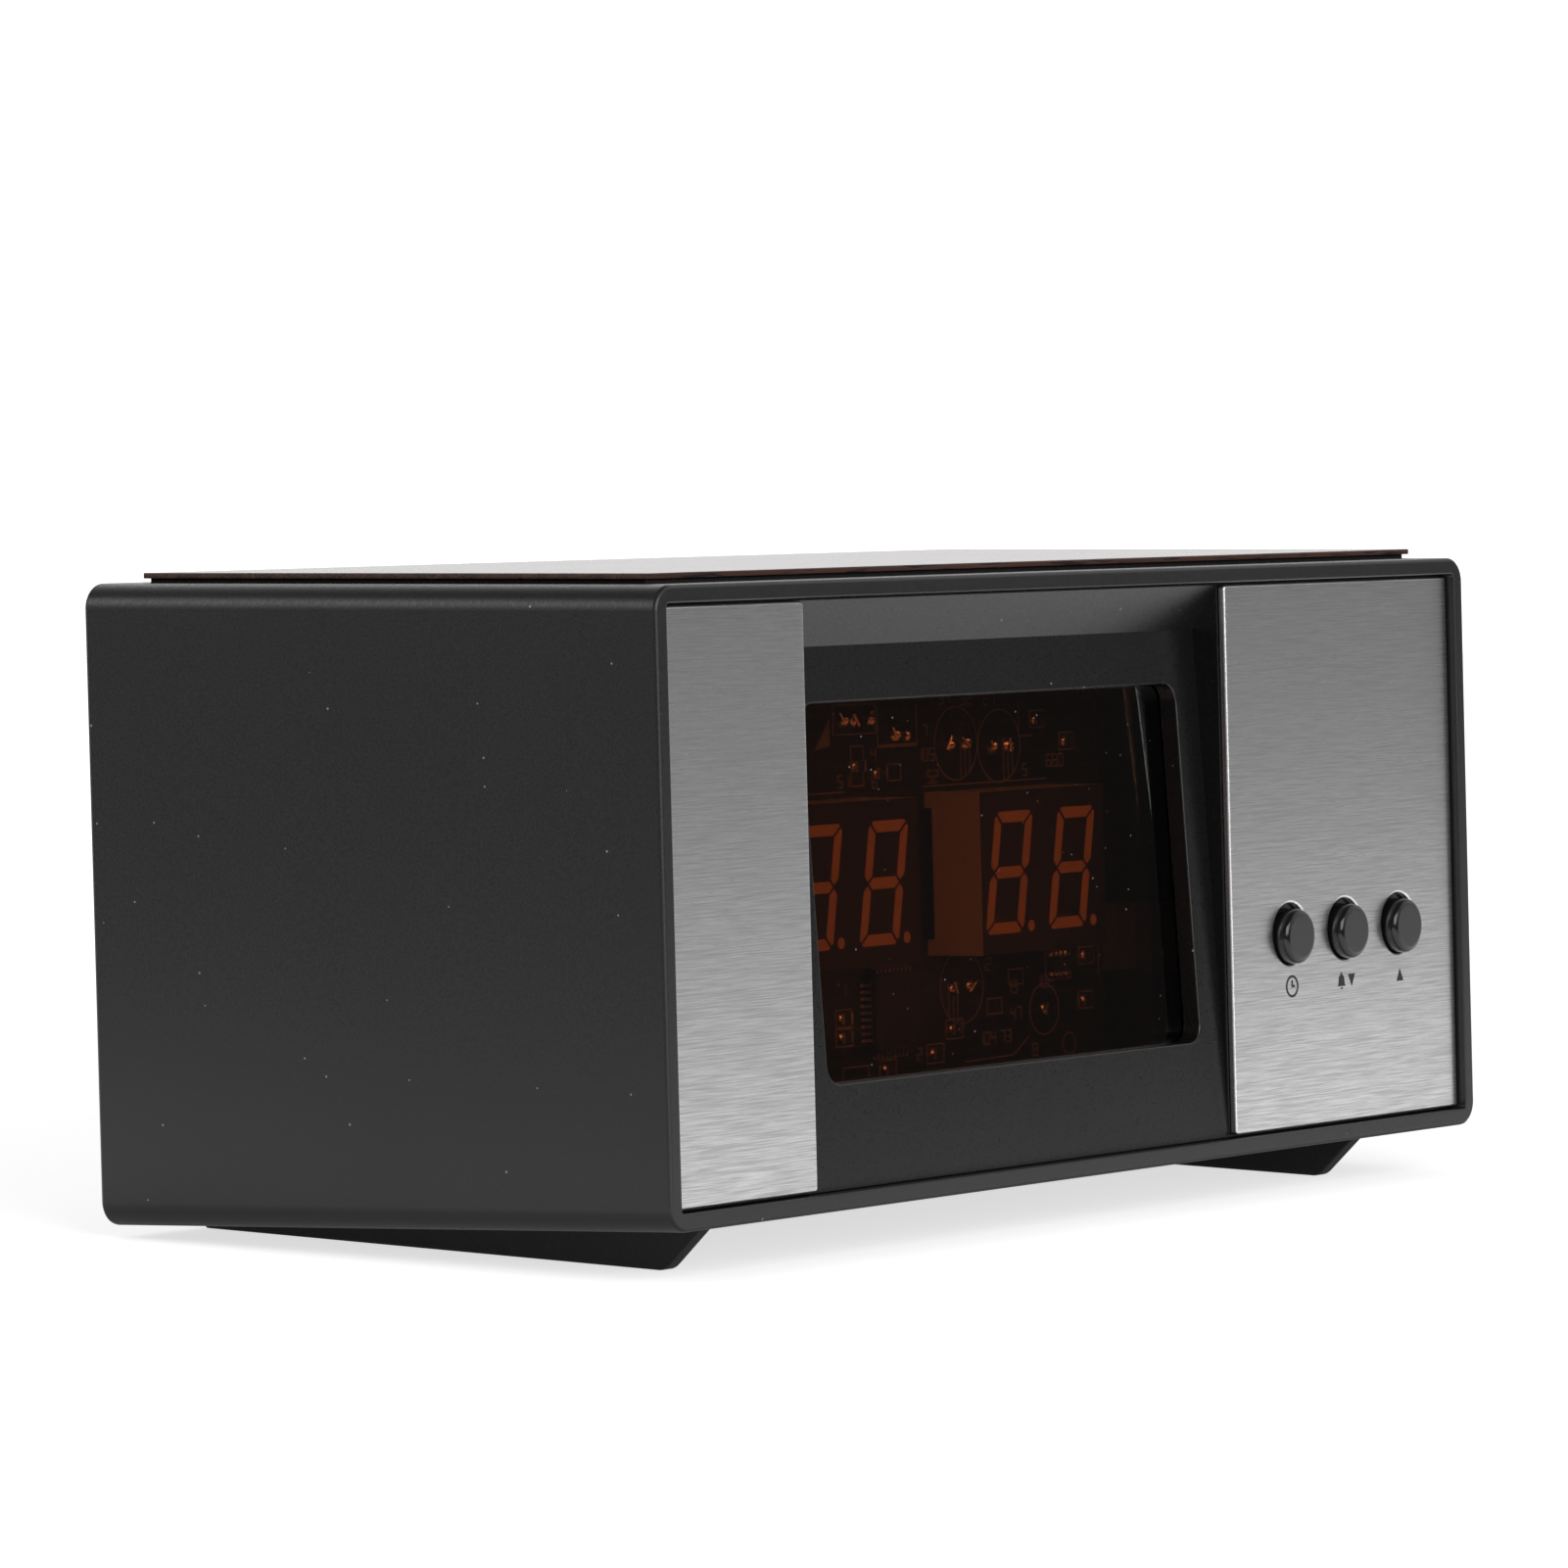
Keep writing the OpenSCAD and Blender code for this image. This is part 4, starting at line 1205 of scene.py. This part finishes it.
@dataclass
class Display:
    """Circuit board, digit modules and the small parts seen through the lens."""

    case: LeaningCase
    module_mm: float = 0.06
    small_mm: float = 0.06
    seed: int = 221
    blob_rows: int = 10
    blob_mm: Triple = (1.0, 0.4, 0.85)
    blob_turns: Point = (-70.0, 30.0)
    spins: Point = (-60.0, 60.0)
    lead_mm: Point = (0.3, 1.7)
    lead_tilts: Point = (-12.0, 12.0)
    lead_shift_mm: Point = (-0.3, 0.3)
    lead_lift: float = 0.8
    lead_taper: float = 0.8
    lead_sides: int = 12
    fillet_rows: int = 8
    fillet_mm: Triple = (0.5, 0.45, 0.75)

    def build(self) -> list[Piece]:
        """Builds and dresses what the lens shows.

        Returns:
            Its pieces.
        """
        pieces = [
            soften("main_board", "clock_board", RESIST, self.small_mm, steps=2),
            soften("left_digit_module", "left_module", MODULE, self.module_mm, steps=2),
            soften("right_digit_module", "right_module", MODULE, self.module_mm, steps=2),
            soften("controller_chip", "controller", CHIP, self.small_mm, steps=2),
        ]
        pieces += dress(("left_digit_segments", "right_digit_segments"), SEGMENT)
        pieces += dress(("resistor_array", "chip_components"), CHIP)
        pieces += dress(("display_pins", "chip_leads", "component_ends"), TIN)
        pieces += dress(("board_screws",), STEEL)
        pieces.append(self.solder())
        return pieces

    def on_board(self, middle: Vector) -> Matrix:
        """Finds where a point lies on the board's face.

        Args:
            middle: The point, in metres.

        Returns:
            The place of the point straight in front, turned as the board is.
        """
        at = self.case.turn.inverted() @ middle
        face = self.case.box("main_board")[0].y
        return self.case.turn @ Matrix.Translation((at.x, face, at.z))

    def lump(self, mesh: Mesh, spot: Matrix, size_mm: Triple, rows: int) -> None:
        """Adds a rounded lump of solder.

        Args:
            mesh: The mesh to add to.
            spot: Its place and turn.
            size_mm: Half its size each way.
            rows: Rows of faces from end to end.
        """
        shape = spot @ Matrix.Diagonal((*(d * MM for d in size_mm), 1.0))
        bmesh.ops.create_uvsphere(mesh, u_segments=2 * rows, v_segments=rows, radius=1.0, matrix=shape)

    def joint(self, mesh: Mesh, spot: Matrix, shape: random.Random) -> None:
        """Adds a sloping blob with a bent-over lead.

        Args:
            mesh: The mesh to add to.
            spot: The joint's place on the board.
            shape: The source of its chance turns.
        """
        spin = turned(shape.uniform(*self.spins), "Y")
        slope = turned(shape.uniform(*self.blob_turns), "Z")
        self.lump(mesh, spot @ slope @ spin, self.blob_mm, self.blob_rows)
        radius, length = (d * MM for d in self.lead_mm)
        tilt = turned(shape.uniform(*self.lead_tilts), "X")
        lift_mm = (0.0, -self.blob_mm[1] * self.lead_lift, shape.uniform(*self.lead_shift_mm))
        bmesh.ops.create_cone(
            mesh,
            cap_ends=True,
            segments=self.lead_sides,
            radius1=radius,
            radius2=radius * self.lead_taper,
            depth=length,
            matrix=spot @ spin @ Matrix.Translation(Vector(lift_mm) * MM) @ tilt,
        )

    def solder(self) -> Piece:
        """Builds a blob with a lead in each solder joint's place, and fillets on small parts.

        Returns:
            The new object.
        """
        shape = random.Random(self.seed)
        mesh = bmesh.new()
        for middle in solids("solder_joints"):
            self.joint(mesh, self.on_board(middle), shape)
        for middle in solids("component_ends"):
            self.lump(mesh, self.on_board(middle), self.fillet_mm, self.fillet_rows)
        piece = add_piece("solder_fillets", mesh, SOLDER)
        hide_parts("solder_joints")
        return piece


@dataclass
class RearPanel:
    """Rear cover with its screws and the power inlet."""

    cover_mm: float = 0.15
    head_mm: float = 0.1
    inlet_mm: float = 0.12

    def build(self) -> list[Piece]:
        """Builds and dresses the back.

        Returns:
            Its pieces.
        """
        pieces = [
            soften("rear_cover", "back_panel", CASE_ABS, self.cover_mm),
            soften("rear_screws", "back_screws", STEEL, self.head_mm, steps=2),
            soften("power_inlet", "inlet_housing", CHIP, self.inlet_mm),
        ]
        return pieces + dress(("inlet_pin",), TIN)


@dataclass
class Works:
    """Pieces that are shut in behind the boards."""

    finishes: tuple[tuple[Finish, tuple[str, ...]], ...] = (
        (SLEEVE, ("smoothing_capacitors",)),
        (TIN, ("quartz_crystal", "backup_cell")),
        (CHIP, ("alarm_buzzer", "cell_holder", "switch_bodies",
                "set_switch_plunger", "down_switch_plunger", "up_switch_plunger")),
        (NYLON, ("power_header", "ribbon_headers")),
        (PVC, ("power_lead", "ribbon_cable")),
        (RESIST, ("button_board",)),
        (STEEL, ("button_board_screws",)),
    )

    def build(self) -> list[Piece]:
        """Dresses the works.

        Returns:
            Their nodes' objects.
        """
        return [piece for finish, nodes in self.finishes for piece in dress(nodes, finish)]


@dataclass(frozen=True)
class Wall:
    """A pale wall or panel of the room: where it is, how bright it looks, and how softly it ends.

    The turn of its middle is in degrees to the right of straight in front of the clock. The cosines are
    of the angles from there at which the wall begins and at which it has its full brightness. The rises
    are in degrees above the floor: where it starts to darken and where it ends. With the higher rise
    first, the panel is overhead and ends downwards.
    """

    turn: float
    level: float
    cosines: Point
    rises: Point

    def over(self, tree: Tree, heading: Socket, under: float | Socket) -> Socket:
        """Lays the wall over what is there already.

        Args:
            tree: The world's node tree.
            heading: The direction looked in.
            under: The brightness without the wall.

        Returns:
            The socket of the brightness with it.
        """
        turn = math.radians(self.turn)
        middle = (math.sin(turn), -math.cos(turn), 0.0)
        height = add_node(tree, "ShaderNodeSeparateXYZ", {0: heading}).outputs["Z"]
        start, end = (math.sin(math.radians(rise)) for rise in self.rises)
        across = ranged(tree, dot(tree, heading, middle), *self.cosines, soft=True)
        up = ranged(tree, height, start, end, 1.0, 0.0, soft=True)
        return level(tree, reckon(tree, "MULTIPLY", across, up), under, self.level)


@dataclass(frozen=True)
class Softbox:
    """A lamp that faces the clock: its power in watts, its size, and where it stands.

    The turn is in degrees to the right of straight in front, and the rise in degrees above the floor.
    """

    name: str
    power: float
    size_m: Point
    turn: float
    rise: float
    away_m: float = 1.1

    def build(self, aim: Vector) -> None:
        """Adds the lamp to the scene.

        Args:
            aim: The point that it faces, in metres.
        """
        data = bpy.data.lights.new(self.name, "AREA")
        data.shape = "RECTANGLE"
        data.size, data.size_y = self.size_m
        data.energy = self.power
        turn, rise = math.radians(self.turn), math.radians(self.rise)
        flat = math.cos(rise)
        out = Vector((math.sin(turn) * flat, -math.cos(turn) * flat, math.sin(rise)))
        lamp = add_object(self.name, data)
        lamp.matrix_world = looking(aim + out * self.away_m, aim)
        lamp.visible_camera = False


@dataclass
class Studio:
    """White sheet and sweep in a dim room with pale walls and a ceiling panel, and two softboxes.

    Mirrored views of the floor are darker under the clock, which is a painted shadow, where shaded_m is
    half the clock's size, and end with the sheet, whose edges fade between the two distances from the
    middle.
    """

    floor_m: float = 3.0
    floor_drop_m: float = 1e-5
    floor_glow: float = 0.68
    fade_m: Point = (0.16, 0.45)
    paper_colour: str = "#e6e6e6"
    room_and_shadow_colour: str = "#3c3c3c"
    sheet_front_m: Point = (0.19, 0.31)
    sheet_left_m: Point = (0.13, 0.3)
    shaded_m: Point = (0.083, 0.042)
    shade_reach: float = 1.5
    shade_level: float = 0.35
    room_level: float = 0.35
    mirrored_level: float = 0.05
    walls: tuple[Wall, ...] = (
        Wall(135.0, 1.4, (0.4, 0.8), (38.0, 52.0)),
        Wall(-127.0, 0.4, (0.3, 0.8), (5.0, 25.0)),
        Wall(53.0, 0.75, (0.4, 0.8), (15.0, 5.5)),
    )
    lamps: tuple[Softbox, ...] = (
        Softbox("key_light", 6.8, (0.9, 0.6), -20.0, 22.0),
        Softbox("back_light", 1.8, (0.6, 0.35), -131.0, 24.0),
    )
    aim_m: Triple = (0.0, 0.0, 0.04)

    def build(self) -> None:
        """Builds surround, floor and lamps."""
        self.surround()
        self.floor()
        for lamp in self.lamps:
            lamp.build(Vector(self.aim_m))

    def shown(self, tree: Tree) -> Socket:
        """Gives 1 for rays that show the surround: seen, mirrored or through glass.

        Args:
            tree: The node tree.

        Returns:
            The socket of that value.
        """
        path = add_node(tree, "ShaderNodeLightPath").outputs
        seen = path["Is Camera Ray"]
        for kind in ("Is Glossy Ray", "Is Transmission Ray"):
            seen = reckon(tree, "MAXIMUM", seen, path[kind])
        return seen

    def surround(self) -> None:
        """Builds the world: white where it is seen, the room where it is mirrored, soft light elsewhere."""
        world = bpy.data.worlds.new("surround")
        bpy.context.scene.world = world
        tree = new_tree(world)
        heading = add_node(tree, "ShaderNodeTexCoord").outputs["Generated"]
        mirrored = self.mirrored_level
        for wall in self.walls:
            mirrored = wall.over(tree, heading, mirrored)
        seen = add_node(tree, "ShaderNodeLightPath").outputs["Is Camera Ray"]
        watched = reckon(tree, "MAXIMUM", mirrored, seen)
        strength = level(tree, self.shown(tree), self.room_level, watched)
        light = add_node(tree, "ShaderNodeBackground", {"Color": linear(WHITE), "Strength": strength})
        add_node(tree, "ShaderNodeOutputWorld", {"Surface": light.outputs[0]})

    def floor(self) -> None:
        """Lays a pale floor that keeps the shadow and fades into the white surround."""
        half = self.floor_m / 2
        mesh = bmesh.new()
        corners = ((-half, -half), (half, -half), (half, half), (-half, half))
        mesh.faces.new([mesh.verts.new((x, y, 0.0)) for x, y in corners])
        data = bpy.data.meshes.new("floor")
        mesh.to_mesh(data)
        mesh.free()
        material = bpy.data.materials.new("white_paper")
        tree = new_tree(material)
        mirrored = add_node(tree, "ShaderNodeLightPath").outputs["Is Glossy Ray"]
        # Where the paper is not kept, mirrored views see the dim floor: the room past the sheet, and
        # painted shadow under the clock
        lost = reckon(tree, "MULTIPLY", reckon(tree, "SUBTRACT", 1.0, self.kept(tree)), mirrored)
        dim = add_node(tree, "ShaderNodeBsdfDiffuse", {"Color": linear(self.room_and_shadow_colour)}).outputs[0]
        shader = add_node(tree, "ShaderNodeMixShader", {0: lost, 1: self.paper(tree), 2: dim}).outputs[0]
        add_node(tree, "ShaderNodeOutputMaterial", {"Surface": shader})
        data.materials.append(material)
        floor = add_object("floor", data)
        floor.matrix_world = Matrix.Translation((0.0, 0.0, -self.floor_drop_m))

    def paper(self, tree: Tree) -> Socket:
        """Builds white paper that glows more with its distance from the clock.

        Args:
            tree: The floor's node tree.

        Returns:
            The shader's socket.
        """
        away = add_node(tree, "ShaderNodeVectorMath", {0: coordinates(tree)}, operation="LENGTH")
        fade = ranged(tree, away.outputs["Value"], *self.fade_m, self.floor_glow, 1.0, soft=True)
        glow = reckon(tree, "MULTIPLY", fade, self.shown(tree))
        paper = add_node(tree, "ShaderNodeBsdfDiffuse", {"Color": linear(self.paper_colour)}).outputs[0]
        light = add_node(tree, "ShaderNodeEmission", {"Color": linear(WHITE), "Strength": glow}).outputs[0]
        return add_node(tree, "ShaderNodeAddShader", {0: paper, 1: light}).outputs[0]

    def kept(self, tree: Tree) -> Socket:
        """Gives the share of the paper that mirrored views keep.

        Args:
            tree: The floor's node tree.

        Returns:
            The socket of the share: less under the clock, where this paints a shadow, none past the sheet's
                front and left.
        """
        place = coordinates(tree)
        off = add_node(tree, "ShaderNodeVectorMath", {0: place}, operation="ABSOLUTE").outputs[0]
        share = add_node(
            tree, "ShaderNodeVectorMath", {0: off, 1: (*self.shaded_m, 1.0)}, operation="DIVIDE"
        ).outputs[0]
        sides = add_node(tree, "ShaderNodeSeparateXYZ", {0: share}).outputs
        beyond = reckon(tree, "MAXIMUM", sides["X"], sides["Y"])
        # Painted shadow: under the clock the paper gives way to the dim floor in mirrored views
        kept = ranged(tree, beyond, 1.0, self.shade_reach, self.shade_level, 1.0, soft=True)
        apart = add_node(tree, "ShaderNodeSeparateXYZ", {0: place}).outputs
        for axis, (start, end) in (("Y", self.sheet_front_m), ("X", self.sheet_left_m)):
            kept = reckon(tree, "MULTIPLY", kept, ranged(tree, apart[axis], -end, -start, soft=True))
        return kept


@dataclass
class Viewpoint:
    """The camera: a long lens, low, to the left of the front."""

    place_mm: Triple = (-770.23, -570.53, 102.84)
    aim_mm: Triple = (-0.53, 4.08, 49.7)
    roll: float = 0.367
    focal_mm: float = 185.98
    sensor_mm: float = 36.0

    def build(self) -> None:
        """Builds the camera and makes it the scene's own."""
        data = bpy.data.cameras.new("viewpoint")
        data.lens = self.focal_mm
        data.sensor_width = self.sensor_mm
        camera = add_object("viewpoint", data)
        place, aim = Vector(self.place_mm) * MM, Vector(self.aim_mm) * MM
        camera.matrix_world = looking(place, aim) @ turned(self.roll, "Z")
        bpy.context.scene.camera = camera


def main() -> None:
    """Builds the clock's looks, the studio and the camera."""
    logging.basicConfig(level=logging.INFO, format="%(message)s")
    bpy.context.scene.view_settings.view_transform = "Standard"
    Viewpoint().build()
    Studio().build()
    case = LeaningCase()
    for assembly in (Housing(), Facia(case), Display(case), Silkscreen(case), RearPanel(), Works()):
        for piece in assembly.build():
            log.info("%s: %s, %d faces", type(assembly).__name__, piece.name, len(piece.data.polygons))


if __name__ == "__main__":
    main()
